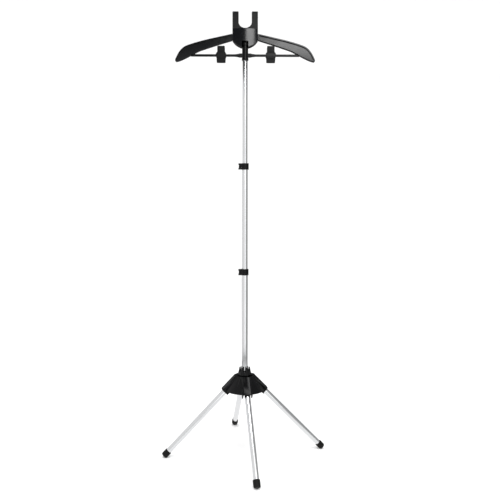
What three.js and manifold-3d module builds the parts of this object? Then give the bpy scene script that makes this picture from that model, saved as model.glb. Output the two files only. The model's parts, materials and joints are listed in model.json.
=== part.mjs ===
// Valet stand: a four-legged floor stand with a telescoping aluminium mast, a swivelling coat
// hanger with folding wings, two trouser clips and an open fork on top.
//
// Units are millimetres. +Z is up, the mast axis is the Z axis and the floor is z = 0.
// The front of the stand faces -Y and +X is to the right of somebody looking at the front.

import * as THREE from 'three';
import { mergeVertices } from 'three/addons/utils/BufferGeometryUtils.js';
import Module from 'manifold-3d';

const wasm = await Module();
wasm.setup();

// ---------------------------------------------------------------- driving dimensions

const GAP = 0.3; // clearance between pieces that touch
const SMALL_SIDES = 12; // facets round a pin, a screw or an eye
const SLIDE_GAP = 0.2; // radial clearance between telescoping tubes
const PASS = 1; // how far a cutting tool runs on past the face that it cuts
const EDGE = 0.8; // chamfer on a moulded edge

const TUBE_WALL = 0.8;
const UPPER_TUBE_R = 8;
const MIDDLE_TUBE_R = UPPER_TUBE_R + SLIDE_GAP + TUBE_WALL;
const LOWER_TUBE_R = MIDDLE_TUBE_R + SLIDE_GAP + TUBE_WALL;
const TUBE_SIDES = 24;

const TUBE_ROOT = 45.5; // hub top to the lower end of the lower tube
const LOWER_COLLAR_Z = 616; // mid height of the collar on the lower tube
const UPPER_COLLAR_Z = 962; // mid height of the collar on the middle tube
const MIDDLE_OVERLAP = 56; // middle tube left inside the lower one when it is drawn out
const UPPER_OVERLAP = 62; // upper tube left inside the middle one when it is drawn out
const MAST_TOP_Z = 1352;
const PLUG_FLANGE = 3.5;
const PLUG_DEPTH = 14;
const BOTTOM_PLUG_DROP = 3; // lower tube's end to the bottom plug's flange
const BOTTOM_PLUG_RIM = 2; // how far the flange stands out past the tube
const TOP_PLUG_RIM = 1.5; // how far the flange stands out past the neck

const COLLAR_HEIGHT = 20;
const COLLAR_WALL = 2;
const COLLAR_R = LOWER_TUBE_R + GAP + COLLAR_WALL;
const COLLAR_EAR = 5; // height of each ear, above and below the lever
const LEVER_PROUD = 1.7; // how far the lever's face stands out past the collar
const LEVER_R = COLLAR_R + LEVER_PROUD;
const LEVER_THICK = 2.5;
const LEVER_PIN_X = -COLLAR_R - 5.3;
const LEVER_PIN_Y = -2;
const LEVER_EAR_R = 3.8;
const LEVER_BARREL_R = 2.4;
const LEVER_SWEEP = [188, 300]; // bearings of a lever's two ends, in degrees
const LEVER_ROOT = 208; // bearing where the lever's web meets its band, in degrees
const LEVER_ROOM = [30, 12]; // room in the collar's seat past each end of the lever, in degrees
const LEVER_TIP = [12, 4]; // reach of the lifted finger tip before and past the lever's end, in degrees
const LEVER_LIFT = 1.6; // how far the finger tip stands out
const COLLAR_SLIT_HALF = 0.6;
const COLLAR_SLIT_BEARING = 150;
const SMALL_PIN_R = 1.5;
const PIN_INSET = 0.5; // ear's face to the end of the lever's pin

const LEG_COUNT = 4;
const LEG_TURN = THREE.MathUtils.degToRad(8); // the feet are turned a little about the mast
const LEG_SLOPE = THREE.MathUtils.degToRad(46); // angle between a leg and the floor
const FOOT_CIRCLE_R = 265.4; // mast axis to the middle of a foot
const FOOT_CENTRE_Z = 10.5;
const FOOT_R = 11.5;
const FOOT_SLEEVE = 16; // mouth of the rubber cap to the middle of the foot
const FOOT_END = 7; // middle of the foot to the cap's flat end
const FOOT_EDGE_R = 4; // rounding of the cap's end
const FOOT_LIP = 2.5;
const FOOT_LIP_STEP = 0.9;
const LEG_TUBE_STOP = 2; // end of a leg's tube to the middle of its foot
const LEG_TUBE_R = 9.5;
const LEG_WALL = 1;
const LEG_SIDES = 20;
const LEG_PIN_R = 2.5;
const KNUCKLE_R = 8;
const KNUCKLE_HALF_WIDTH = 6;
const KNUCKLE_LENGTH = 11.7; // hinge pin to the shoulder that the tube sits on
const KNUCKLE_SPIGOT = 18;
const KNUCKLE_RING = 3; // height of the shoulder ring
const RIVET_HEAD = 1.4;
const RIVET_RIM = 1.7; // how far a rivet's head stands out past its shank

const HUB_CORE_WALL = 3.7;
const HUB_CORE_R = LOWER_TUBE_R + GAP + HUB_CORE_WALL;
const HUB_CORE_HEIGHT = 48.5;
const LEG_PIVOT_R = HUB_CORE_R + 16; // mast axis to a leg's hinge pin
const HUB_RISE = 16.2; // hinge pins to the hub's top
const HUB_PLATE_R = LEG_PIVOT_R + 1;
const HUB_PLATE = 5;
const SKIRT_R = LEG_PIVOT_R + 37;
const SKIRT_HEIGHT = 49.5;
const SKIRT_WALL = 3;
const SKIRT_SIDES = 40;
const RIB_HALF_WIDTH = 16.5;
const RIB_WALL = 3;
const RIB_ROOF = 3.5;
const RIB_CHAMFER = 6;
const RIB_LENGTH = 54; // hinge pin to the open end of a rib
const RIB_DROP = 11; // leg axis to the lower edge of a rib
const RIB_TAB = 3.5;
const RIB_TAB_INSET = 3; // outer face of a rib's wall to the outer face of its tab
const RIB_OPENING = 70; // hinge pin to the end of the space cut for a leg
const CORE_ROOM = 1.5; // hub core to the space in which a leg folds
const SKIRT_DROP = 2; // hub top to the top of the skirt

const NUT_HEIGHT = 26;
const NUT_LOBES = 6;
const COLLET_WALL = 3;
const NUT_BORE_R = LOWER_TUBE_R + GAP + COLLET_WALL + GAP;
const NUT_BASE_R = NUT_BORE_R + 6.9;
const NUT_RING = 12; // height of the ring below the lobes
const NUT_EDGE = 1.5;
const NUT_TAPER = 2.4;
const LOBE_BASE_R = 6.6;
const LOBE_TOP_R = 4.4;
const LOBE_LEAN = 3.4; // how far a lobe leans in over its height
const LOBE_PROUD = 0.6; // how far a lobe stands out past the ring
const COLLET_HEIGHT = 10;
const COLLET_FLANGE_R = NUT_BORE_R + 1.9;
const COLLET_FLANGE = 2;
const COLLET_SLOT_HALF = 0.8;

const HEAD_HALF_WIDTH = 40.5;
const HEAD_TOP_Z = 1396;
const HEAD_SIDE_Z = 1361; // where the straight sides meet the round bottom
const HEAD_BOTTOM_Z = 1338.8;
const HEAD_BULGE = 6.5; // how much the middle of the front stands out from its edges
const HEAD_BACK_BULGE = 4;
const HEAD_WALL = 2.2;
const HEAD_SHELF = 2; // thickness of the shelf under the neck's flange
const KEEPER_HALF = 1; // half thickness of the fin over the neck's flange
const NOTCH_TOP_Z = 1357;
const SCREW_Z = 1369;
const SCREW_BOSS_R = 3.8;
const SCREW_HEAD_R = 2.6;
const SCREW_HEAD = 2;
const SCREW_REACH = 9.2; // mast axis to the screw's point, towards the front
const THREAD_REACH = 11.1; // mast axis to the end of the screw's hole in the front cover
const SCREW_SLOT = 0.8;
const SCREW_SLOT_HALF = 0.35;

const FORK_TOP_Z = 1450;
const FORK_HALF_WIDTH = HEAD_HALF_WIDTH; // the prongs line up with the head's sides
const FORK_GAP_HALF_WIDTH = 21;
const FORK_BOTTOM_Z = 1400;
const FORK_GAP_CORNER = 18;
const FORK_DEPTH = 20;
const FORK_RIM = 3;
const FORK_RECESS = 1.6;
const FORK_TIP_R = 2;
const TANG_HALF_WIDTH = 27;
const TANG_DEPTH = 10;
const TANG_LENGTH = 12;

const NECK_WALL = 1.45;
const NECK_R = UPPER_TUBE_R + GAP + NECK_WALL;
const NECK_Z0 = 1306.3;
const NECK_FLANGE_R = NECK_R + 4.25;
const NECK_FLANGE = 4;
const NECK_FLANGE_DROP = 2; // mast top to the top of the neck's flange
const RING_R = NECK_R + 0.85;
const RING_HEIGHT = 7;
const HEAD_FRONT = NECK_FLANGE_R + 4.5; // mast axis to the middle of the front cover
const HEAD_BACK = NECK_FLANGE_R + 1;
const NOTCH_HALF_WIDTH = NECK_R + 0.75;
const SCREW_X = NECK_FLANGE_R + 5;

const BAR_Z = 1315;
const BAR_HALF_HEIGHT = 3.5;
const BAR_HALF_DEPTH = 2.5;
const BAR_EYE_R = 5.5;
const BAR_EYE_HALF_DEPTH = 3.3;
const BAR_END_X = 173;
const BAR_CHAMFER = 0.6;
const SOCKET_LENGTH = 18;
const SOCKET_END = 2; // wall at each end of the socket
const SOCKET_WALL = 2.2; // wall round the bar in the socket
const WING_PIVOT_X = NECK_R + 7.25;
const BAR_TAPER_X = WING_PIVOT_X + 16;
const EAR_THICK = 2.2;

const ARM_HALF_DEPTH = 9.5;
const ARM_RIM = 3.4;
const ARM_WEB = 4;
const ARM_ROOT_X = HEAD_HALF_WIDTH + 0.7;
const ARM_TONGUE_X = SCREW_X + 10;
const TONGUE_HALF_DEPTH = 6.5;
const TONGUE_STEP = 1.6; // arm's edge to the tongue's edge
const TONGUE_OVERLAP = 4; // how far the tongue runs on into the arm
const ARM_STEPS = 14; // straight steps along each edge
const WINDOW_MARGIN = 1.5; // room round the tongue in the side of the head
// Upper and lower edge of an arm, each from the head to the tip.
const ARM_TOP = [
  [ARM_ROOT_X, 1381], [92, 1369.7], [133, 1360.5], [174, 1348.7], [195, 1340], [210, 1325.5],
  [221, 1306], [224, 1297.5],
];
const ARM_BOTTOM = [
  [ARM_ROOT_X, 1362.2], [92, 1346.8], [131, 1334], [149, 1327.5], [174, 1314.6],
  [194, 1304.6], [208, 1298.6], [221, 1295],
];

const LEFT_CLIP_X = -77;
const RIGHT_CLIP_X = 82;
const CLIP_HALF_WIDTH = 16.3;
const TAB_HALF_WIDTH = 12;
const JAW_HALF_WIDTH = 14;
const CLIP_TOP = 28; // bar centre to the top of the finger tabs
const CLIP_BOTTOM = 22.5; // bar centre to the tips of the jaws
const CLIP_PLATE = 2.4;
const CLIP_PIVOT_Z = 9;
const CLIP_PIN_R = 1.2;
const CLIP_EYE_R = 3;
const SADDLE_HALF_WIDTH = 13;
const SADDLE_HALF_DEPTH = 4.8;
const SADDLE_LIP = 2; // wall of the saddle under the bar
const PAD_HEIGHT = 9;
const PAD_RIBS = 4;
const PAD_GROOVE = 0.8; // depth of the grooves between the ribs
const PAD_BACKING = 0.4; // glue gap between a pad and its jaw, past the clearance
const PAD_INSET = 1.5; // edge of a jaw to the end of its pad
const PAD_LIFT = 1; // tip of a jaw to the lower edge of its pad
const PANEL_RIM = 3; // rim round the recessed panel of a front jaw
const PANEL_TOP = -7; // bar centre to the panel's upper edge
const PANEL_DEPTH = 0.7;
const CHEEK_X = [6, 8.4]; // inner and outer face of a back jaw's lugs
const EAR_X = [8.8, 11.4]; // inner and outer face of a front jaw's lugs
const LUG_REACH = 8; // hinge pin to the middle of the plate that carries a lug
const SPRING_COIL = 2; // coil's wall
const SPRING_HALF = 5;
const SPRING_WIRE = 1.1;
const BACK_WIRE_X = 3.6;
const FRONT_WIRE_X = -4.7;
const WIRE_ROOT_Y = 2.1; // where a spring's wire leaves the coil
const BACK_WIRE_END = [7, CLIP_TOP - 7]; // y and z of each wire's end
const FRONT_WIRE_END = [-2.2, CLIP_TOP - 8];

// ---------------------------------------------------------------- geometry helpers

const X = new THREE.Vector3(1, 0, 0);
const Y = new THREE.Vector3(0, 1, 0);
const Z = new THREE.Vector3(0, 0, 1);

/** A three.js geometry as a solid that can be joined and cut. */
function solid(geometry) {
  const bare = geometry.clone();
  bare.deleteAttribute('normal');
  bare.deleteAttribute('uv');
  const merged = mergeVertices(bare, 1e-4);
  return new wasm.Manifold(new wasm.Mesh({
    numProp: 3,
    vertProperties: new Float32Array(merged.attributes.position.array),
    triVerts: new Uint32Array(merged.index.array),
  }));
}

/** A solid as a three.js geometry. */
function geometryOf(body) {
  const { vertProperties, triVerts } = body.getMesh();
  const geometry = new THREE.BufferGeometry();
  geometry.setAttribute('position', new THREE.BufferAttribute(new Float32Array(vertProperties), 3));
  geometry.setIndex(new THREE.BufferAttribute(new Uint32Array(triVerts), 1));
  geometry.computeVertexNormals();
  return geometry;
}

/** The sum of several solids. */
function join(...bodies) {
  return bodies.reduce((sum, body) => sum.add(body));
}

/** The first solid without the others. */
function cut(body, ...tools) {
  return tools.reduce((rest, tool) => rest.subtract(tool), body);
}

/** A body of revolution about Z; the profile's points are [radius, z], counterclockwise. */
function turned(profile, sides = TUBE_SIDES) {
  const closed = [...profile, profile[0]].map(([r, z]) => new THREE.Vector2(r, z));
  return new THREE.LatheGeometry(closed, sides).rotateX(Math.PI / 2);
}

/** A round tube along Z. */
function tube(outer, inner, z0, z1, sides = TUBE_SIDES) {
  return turned([[inner, z0], [outer, z0], [outer, z1], [inner, z1]], sides);
}

/** A round rod along Z. */
function rod(radius, z0, z1, sides = TUBE_SIDES) {
  return new THREE.CylinderGeometry(radius, radius, z1 - z0, sides)
    .rotateX(Math.PI / 2)
    .translate(0, 0, (z0 + z1) / 2);
}

/** A round rod along Y through (x, z). */
function rodAlongY(radius, x, z, y0, y1, sides = SMALL_SIDES) {
  return new THREE.CylinderGeometry(radius, radius, y1 - y0, sides).translate(x, (y0 + y1) / 2, z);
}

/** A round rod along X through (y, z). */
function rodAlongX(radius, y, z, x0, x1, sides = SMALL_SIDES) {
  return new THREE.CylinderGeometry(radius, radius, x1 - x0, sides)
    .rotateZ(Math.PI / 2)
    .translate((x0 + x1) / 2, y, z);
}

/** A box between two corners. */
function box([x0, y0, z0], [x1, y1, z1]) {
  return new THREE.BoxGeometry(x1 - x0, y1 - y0, z1 - z0)
    .translate((x0 + x1) / 2, (y0 + y1) / 2, (z0 + z1) / 2);
}

/** A shape from a list of [a, b] points. */
function outline(points) {
  return new THREE.Shape(points.map(([a, b]) => new THREE.Vector2(a, b)));
}

/** An outline drawn in x and z, as a slab from y0 to y1, with its edges chamfered. */
function slabXZ(points, y0, y1, chamfer = 0) {
  return new THREE.ExtrudeGeometry(outline(points), {
    depth: y1 - y0 - 2 * chamfer,
    curveSegments: 12,
    bevelEnabled: chamfer > 0,
    bevelThickness: chamfer,
    bevelSize: chamfer,
    bevelOffset: -chamfer,
    bevelSegments: 1,
  }).rotateX(Math.PI / 2).translate(0, y1 - chamfer, 0);
}

/** An outline drawn in y and z, as a slab from x0 to x1. */
function slabYZ(points, x0, x1) {
  return new THREE.ExtrudeGeometry(outline(points), { depth: x1 - x0, bevelEnabled: false })
    .applyMatrix4(new THREE.Matrix4().makeBasis(Y, Z, X))
    .translate(x0, 0, 0);
}

/** An outline drawn in x and y, as a slab from z0 to z1. */
function slabXY(points, z0, z1) {
  return new THREE.ExtrudeGeometry(outline(points), { depth: z1 - z0, bevelEnabled: false })
    .translate(0, 0, z0);
}

/** Points on an arc about (a, b), from one angle to another in degrees. */
function arc(a, b, radius, from, to, steps = 6) {
  return Array.from({ length: steps + 1 }, (_, i) => {
    const angle = THREE.MathUtils.degToRad(from + ((to - from) * i) / steps);
    return [a + radius * Math.cos(angle), b + radius * Math.sin(angle)];
  });
}

/** Points on a smooth curve through the given ones. */
function smooth(points, steps) {
  const curve = new THREE.SplineCurve(points.map(([a, b]) => new THREE.Vector2(a, b)));
  return curve.getPoints(steps).map((p) => [p.x, p.y]);
}

/** The centre height and radius of the arc through (-half, side), (0, low) and (half, side). */
function sagArc(half, side, low) {
  const sag = side - low;
  const radius = (half * half + sag * sag) / (2 * sag);
  return { radius, centre: low + radius };
}

/** Distance from point p to the segment from a to b. */
function segmentDistance(p, a, b) {
  const [dx, dy] = [b[0] - a[0], b[1] - a[1]];
  const along = ((p[0] - a[0]) * dx + (p[1] - a[1]) * dy) / (dx * dx + dy * dy);
  const t = Math.min(1, Math.max(0, along));
  return Math.hypot(p[0] - a[0] - t * dx, p[1] - a[1] - t * dy);
}

/** A closed outline moved inwards by a distance; corners that would fold over are dropped. */
function inset(points, distance) {
  const count = points.length;
  const turn = Math.sign(THREE.ShapeUtils.area(points.map(([a, b]) => new THREE.Vector2(a, b))));
  const moved = points.map((p, i) => {
    const before = points[(i + count - 1) % count];
    const after = points[(i + 1) % count];
    const [e0, e1] = [[p[0] - before[0], p[1] - before[1]], [after[0] - p[0], after[1] - p[1]]];
    const [l0, l1] = [Math.hypot(...e0), Math.hypot(...e1)];
    const n0 = [(-turn * e0[1]) / l0, (turn * e0[0]) / l0];
    const n1 = [(-turn * e1[1]) / l1, (turn * e1[0]) / l1];
    const mitre = 1 + n0[0] * n1[0] + n0[1] * n1[1];
    return [p[0] + (distance * (n0[0] + n1[0])) / mitre, p[1] + (distance * (n0[1] + n1[1])) / mitre];
  });
  const clear = (p) => points.every((a, i) =>
    segmentDistance(p, a, points[(i + 1) % count]) > distance * 0.98);
  const kept = moved.filter(clear);
  const apart = (p, i) => {
    const next = kept[(i + 1) % kept.length];
    return Math.hypot(next[0] - p[0], next[1] - p[1]) > distance / 4;
  };
  return kept.filter(apart);
}

/** A strip of constant thickness along a line, as a closed outline. */
function strip(line, thickness) {
  const side = (sign) => line.map((p, i) => {
    const before = line[Math.max(0, i - 1)];
    const after = line[Math.min(line.length - 1, i + 1)];
    const [da, db] = [after[0] - before[0], after[1] - before[1]];
    const length = Math.hypot(da, db);
    return [p[0] - (sign * db * thickness) / 2 / length, p[1] + (sign * da * thickness) / 2 / length];
  });
  return [...side(1), ...side(-1).reverse()];
}

// ---------------------------------------------------------------- materials and meshes

const FINISHES = {
  aluminium: { color: 0xd4d6d8, roughness: 0.34, metalness: 0.9 },
  steel: { color: 0xa8abad, roughness: 0.35, metalness: 1 },
  glossBlack: { color: 0x1b1d21, roughness: 0.24, metalness: 0 },
  satinBlack: { color: 0x161618, roughness: 0.45, metalness: 0 },
  rubber: { color: 0x101011, roughness: 0.8, metalness: 0 },
  nylon: { color: 0x26272a, roughness: 0.55, metalness: 0 },
};

const stand = new THREE.Group();

/** Adds a named piece, given as a geometry or as a solid, to a group. */
function piece(name, shape, finish, parent = stand) {
  const geometry = shape.isBufferGeometry ? shape : geometryOf(shape);
  const mesh = new THREE.Mesh(geometry, new THREE.MeshStandardMaterial(FINISHES[finish]));
  mesh.name = name;
  parent.add(mesh);
  return mesh;
}

// ---------------------------------------------------------------- legs

const legSin = Math.sin(LEG_SLOPE);
const legCos = Math.cos(LEG_SLOPE);
const LEG_LENGTH = (FOOT_CIRCLE_R - LEG_PIVOT_R) / legCos; // hinge pin to the middle of the foot
const LEG_PIVOT_Z = FOOT_CENTRE_Z + LEG_LENGTH * legSin;
const HUB_TOP_Z = LEG_PIVOT_Z + HUB_RISE;
const HUB_CORE_Z0 = HUB_TOP_Z - HUB_CORE_HEIGHT;

// Leg frame: z runs down the leg from its hinge pin, y points up and out, x is sideways.
const ALONG = new THREE.Vector3(legCos, 0, -legSin);
const ABOVE = new THREE.Vector3(legSin, 0, legCos);
const LEG_FRAME = new THREE.Matrix4()
  .makeBasis(Y, ABOVE, ALONG)
  .setPosition(LEG_PIVOT_R, 0, LEG_PIVOT_Z);

/** The radius and height of a point of the leg frame, at s down the leg and v above its axis. */
function legPoint(s, v) {
  return [LEG_PIVOT_R + s * legCos + v * legSin, LEG_PIVOT_Z - s * legSin + v * legCos];
}

function legTube() {
  const start = KNUCKLE_LENGTH + GAP;
  const end = LEG_LENGTH - LEG_TUBE_STOP;
  return tube(LEG_TUBE_R, LEG_TUBE_R - LEG_WALL, start, end, LEG_SIDES);
}

function legKnuckle() {
  const spigotR = LEG_TUBE_R - LEG_WALL - GAP;
  const eye = rodAlongX(KNUCKLE_R, 0, 0, -KNUCKLE_HALF_WIDTH, KNUCKLE_HALF_WIDTH, LEG_SIDES);
  const ringStart = KNUCKLE_LENGTH - KNUCKLE_RING;
  const spigotEnd = KNUCKLE_LENGTH + KNUCKLE_SPIGOT;
  const cheek = box(
    [-KNUCKLE_HALF_WIDTH, -KNUCKLE_R, 0],
    [KNUCKLE_HALF_WIDTH, KNUCKLE_R, ringStart + KNUCKLE_RING / 2],
  );
  const spigot = turned([
    [0, ringStart], [LEG_TUBE_R, ringStart], [LEG_TUBE_R, KNUCKLE_LENGTH],
    [spigotR, KNUCKLE_LENGTH], [spigotR, spigotEnd], [0, spigotEnd],
  ], LEG_SIDES);
  const hole = rodAlongX(LEG_PIN_R + GAP, 0, 0, -KNUCKLE_R, KNUCKLE_R);
  return cut(join(solid(eye), solid(cheek), solid(spigot)), solid(hole));
}

/** A rivet across a rib, with a flat head outside each wall. */
function legPin() {
  const reach = RIB_HALF_WIDTH + GAP;
  const end = reach + RIVET_HEAD / 2;
  const headR = LEG_PIN_R + RIVET_RIM;
  const shank = rodAlongX(LEG_PIN_R, 0, 0, -end, end);
  const heads = [-reach - RIVET_HEAD, reach].map((x) =>
    solid(rodAlongX(headR, 0, 0, x, x + RIVET_HEAD)));
  return join(solid(shank), ...heads);
}

/** A rubber cap on the end of a leg, with a flat sole on the floor. */
function footCap() {
  const bore = LEG_TUBE_R + GAP;
  const bottom = LEG_LENGTH - LEG_TUBE_STOP + GAP;
  const top = LEG_LENGTH - FOOT_SLEEVE;
  const end = LEG_LENGTH + FOOT_END;
  const edge = arc(FOOT_R - FOOT_EDGE_R, end - FOOT_EDGE_R, FOOT_EDGE_R, 0, 90, 5);
  const profile = [
    ...edge, [0, end], [0, bottom], [bore, bottom], [bore, top],
    [FOOT_R - FOOT_LIP_STEP, top], [FOOT_R, top + FOOT_LIP],
  ];
  const cap = solid(turned(profile, LEG_SIDES).applyMatrix4(LEG_FRAME));
  const floor = box([0, -FOOT_R * 2, -FOOT_R * 2], [FOOT_CIRCLE_R * 2, FOOT_R * 2, 0]);
  return cut(cap, solid(floor));
}

const LEG_NAMES = ['right', 'rear', 'left', 'front'];
const legBearing = (i) => LEG_TURN + (2 * Math.PI * i) / LEG_COUNT;

LEG_NAMES.forEach((name, i) => {
  const bearing = new THREE.Group();
  bearing.rotation.z = legBearing(i);
  stand.add(bearing);
  const leg = new THREE.Group();
  leg.position.setFromMatrixPosition(LEG_FRAME);
  leg.quaternion.setFromRotationMatrix(LEG_FRAME);
  bearing.add(leg);
  piece(`${name}_leg_tube`, legTube(), 'aluminium', leg);
  piece(`${name}_leg_knuckle`, legKnuckle(), 'nylon', leg);
  piece(`${name}_leg_pin`, legPin(), 'steel', leg);
  piece(`${name}_foot_cap`, footCap(), 'rubber', bearing);
});

// ---------------------------------------------------------------- hub

const RIB_UNDERSIDE = LEG_TUBE_R + GAP; // a spread leg rests against the roof of its rib
const RIB_TOP = RIB_UNDERSIDE + RIB_ROOF;

/** An inverted channel that covers the top of a leg, before it is hollowed. */
function ribBlock() {
  const section = [
    [-RIB_HALF_WIDTH, -RIB_DROP], [RIB_HALF_WIDTH, -RIB_DROP],
    [RIB_HALF_WIDTH, RIB_TOP - RIB_CHAMFER], [RIB_HALF_WIDTH - RIB_CHAMFER, RIB_TOP],
    [RIB_CHAMFER - RIB_HALF_WIDTH, RIB_TOP], [-RIB_HALF_WIDTH, RIB_TOP - RIB_CHAMFER],
  ];
  const block = slabXY(section, -HUB_PLATE_R, RIB_LENGTH).applyMatrix4(LEG_FRAME);
  const limit = box([0, -HUB_PLATE_R, 0], [SKIRT_R * 2, HUB_PLATE_R, HUB_TOP_Z]);
  const tabs = [-1, 1].map((side) => {
    const outer = side * (RIB_HALF_WIDTH - RIB_TAB_INSET);
    const inner = outer - side * RIB_WALL;
    const low = [Math.min(inner, outer), -RIB_DROP, RIB_LENGTH - RIB_WALL];
    const high = [Math.max(inner, outer), RIB_TAB - RIB_DROP, RIB_LENGTH + RIB_TAB];
    return solid(box(low, high).applyMatrix4(LEG_FRAME));
  });
  return join(solid(block).intersect(solid(limit)), ...tabs);
}

/** The space in which a leg folds: everything under the roof of its rib. */
function legSpace() {
  const coreClear = HUB_CORE_R + CORE_ROOM;
  const [innerR, innerZ] = legPoint(-KNUCKLE_R - PASS, RIB_UNDERSIDE);
  const [outerR, outerZ] = legPoint(RIB_OPENING, RIB_UNDERSIDE);
  const low = HUB_CORE_Z0 - SKIRT_R / 2;
  const side = [
    [coreClear, low], [outerR, low], [outerR, outerZ], [innerR, innerZ],
    [coreClear, innerZ - HUB_PLATE],
  ];
  const half = RIB_HALF_WIDTH - RIB_WALL;
  return solid(slabXZ(side, -half, half));
}

function hubShell() {
  const core = rod(HUB_CORE_R, HUB_CORE_Z0, HUB_TOP_Z);
  const plate = rod(HUB_PLATE_R, HUB_TOP_Z - HUB_PLATE, HUB_TOP_Z, SKIRT_SIDES);
  const skirtZ = HUB_TOP_Z - SKIRT_HEIGHT;
  const skirtTop = HUB_TOP_Z - SKIRT_DROP;
  const skirt = turned([
    [SKIRT_R - SKIRT_WALL, skirtZ], [SKIRT_R, skirtZ], [HUB_PLATE_R, skirtTop],
    [HUB_PLATE_R - SKIRT_WALL, skirtTop],
  ], SKIRT_SIDES);
  let hub = join(solid(core), solid(plate), solid(skirt));
  const turns = LEG_NAMES.map((_, i) => THREE.MathUtils.radToDeg(legBearing(i)));
  for (const angle of turns) {
    hub = hub.add(ribBlock().rotate([0, 0, angle]));
  }
  const pinEnd = RIB_HALF_WIDTH + PASS;
  const pinHole = rodAlongX(LEG_PIN_R + GAP, 0, 0, -pinEnd, pinEnd).applyMatrix4(LEG_FRAME);
  const headReach = RIB_HALF_WIDTH + GAP + RIVET_HEAD + GAP;
  const headRooms = [-headReach, RIB_HALF_WIDTH].map((x) => {
    const end = x + headReach - RIB_HALF_WIDTH;
    return solid(rodAlongX(LEG_PIN_R + RIVET_RIM + GAP, 0, 0, x, end).applyMatrix4(LEG_FRAME));
  });
  const legRoom = join(legSpace(), solid(pinHole), ...headRooms);
  for (const angle of turns) {
    hub = hub.subtract(legRoom.rotate([0, 0, angle]));
  }
  return cut(hub, solid(rod(LOWER_TUBE_R + GAP, HUB_CORE_Z0 - PASS, HUB_TOP_Z + PASS)));
}

/** A slotted sleeve round the mast that the lock nut squeezes. */
function hubCollet() {
  const z0 = HUB_TOP_Z + GAP;
  const bore = LOWER_TUBE_R + GAP;
  const sleeveR = NUT_BORE_R - GAP;
  const sleeve = turned([
    [bore, z0], [COLLET_FLANGE_R, z0], [COLLET_FLANGE_R, z0 + COLLET_FLANGE],
    [sleeveR, z0 + COLLET_FLANGE], [sleeveR, z0 + COLLET_HEIGHT], [bore, z0 + COLLET_HEIGHT],
  ]);
  const slot = solid(box(
    [-NUT_BASE_R, -COLLET_SLOT_HALF, z0 + COLLET_FLANGE + PASS],
    [NUT_BASE_R, COLLET_SLOT_HALF, z0 + NUT_HEIGHT],
  ));
  const slots = [45, 135].map((angle) =>
    slot.rotate([0, 0, angle + THREE.MathUtils.radToDeg(LEG_TURN)]));
  return cut(solid(sleeve), ...slots);
}

/** A crown-shaped nut: a ring with tapered finger lobes, open between the lobes at the top. */
function lockNut() {
  const z0 = HUB_TOP_Z + GAP;
  const z1 = z0 + NUT_HEIGHT;
  const ringTop = z0 + NUT_RING;
  const ring = turned([
    [NUT_BORE_R, z0], [NUT_BASE_R - NUT_EDGE, z0], [NUT_BASE_R, z0 + NUT_EDGE],
    [NUT_BASE_R - NUT_TAPER, ringTop], [NUT_BORE_R, ringTop],
  ]);
  let nut = solid(ring);
  for (let i = 0; i < NUT_LOBES; i += 1) {
    const bearing = ((i + 0.5) * 2 * Math.PI) / NUT_LOBES - Math.PI / 2; // a gap faces the front
    const lobe = new THREE.CylinderGeometry(LOBE_TOP_R, LOBE_BASE_R, NUT_HEIGHT, SMALL_SIDES)
      .rotateX(Math.PI / 2)
      .rotateY(-Math.atan2(LOBE_LEAN, NUT_HEIGHT))
      .translate(NUT_BASE_R - LOBE_BASE_R + LOBE_PROUD, 0, (z0 + z1) / 2)
      .rotateZ(bearing);
    nut = nut.add(solid(lobe));
  }
  const trim = tube(NUT_BASE_R * 2, NUT_BORE_R, z0, z1);
  const flangeSeat = rod(COLLET_FLANGE_R + GAP, z0 - PASS, z0 + COLLET_FLANGE + GAP);
  return cut(nut.intersect(solid(trim)), solid(flangeSeat));
}

piece('hub_shell', hubShell(), 'satinBlack');
piece('hub_collet', hubCollet(), 'nylon');
piece('lock_nut', lockNut(), 'satinBlack');

// ---------------------------------------------------------------- mast

/** A plug in the end of a tube; side is 1 for a top end and -1 for a bottom end. */
function endPlug(bore, flangeR, z, side) {
  const face = z + side * GAP;
  const spigotR = bore - GAP;
  const profile = [
    [0, z - side * PLUG_DEPTH], [spigotR, z - side * PLUG_DEPTH], [spigotR, face],
    [flangeR, face], [flangeR, face + side * PLUG_FLANGE], [0, face + side * PLUG_FLANGE],
  ];
  return turned(side > 0 ? profile : profile.reverse());
}

const LOWER_TUBE_Z0 = HUB_TOP_Z - TUBE_ROOT;
const MIDDLE_TUBE_Z0 = LOWER_COLLAR_Z - MIDDLE_OVERLAP;
const UPPER_TUBE_Z0 = UPPER_COLLAR_Z - UPPER_OVERLAP;

const mastTube = (radius, z0, z1) => tube(radius, radius - TUBE_WALL, z0, z1);

piece('mast_lower_tube', mastTube(LOWER_TUBE_R, LOWER_TUBE_Z0, LOWER_COLLAR_Z), 'aluminium');
piece('mast_middle_tube', mastTube(MIDDLE_TUBE_R, MIDDLE_TUBE_Z0, UPPER_COLLAR_Z), 'aluminium');
piece('mast_upper_tube', mastTube(UPPER_TUBE_R, UPPER_TUBE_Z0, MAST_TOP_Z), 'aluminium');
[
  ['mast_bottom_plug', LOWER_TUBE_R, BOTTOM_PLUG_RIM, LOWER_TUBE_Z0 - BOTTOM_PLUG_DROP, -1],
  ['middle_tube_glide', MIDDLE_TUBE_R, 0, MIDDLE_TUBE_Z0, -1],
  ['upper_tube_glide', UPPER_TUBE_R, 0, UPPER_TUBE_Z0, -1],
  ['mast_top_plug', UPPER_TUBE_R, NECK_R - UPPER_TUBE_R + TOP_PLUG_RIM, MAST_TOP_Z, 1],
].forEach(([name, tubeR, rim, z, side]) => {
  piece(name, endPlug(tubeR - TUBE_WALL, tubeR + rim, z, side), 'nylon');
});

/** A sector between two radii, as an outline in x and y. */
function sector(inner, outer, from, to, steps = 14) {
  return [...arc(0, 0, outer, from, to, steps), ...arc(0, 0, inner, to, from, steps)];
}

const LEVER_HALF_HEIGHT = COLLAR_HEIGHT / 2 - COLLAR_EAR - GAP;

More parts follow.
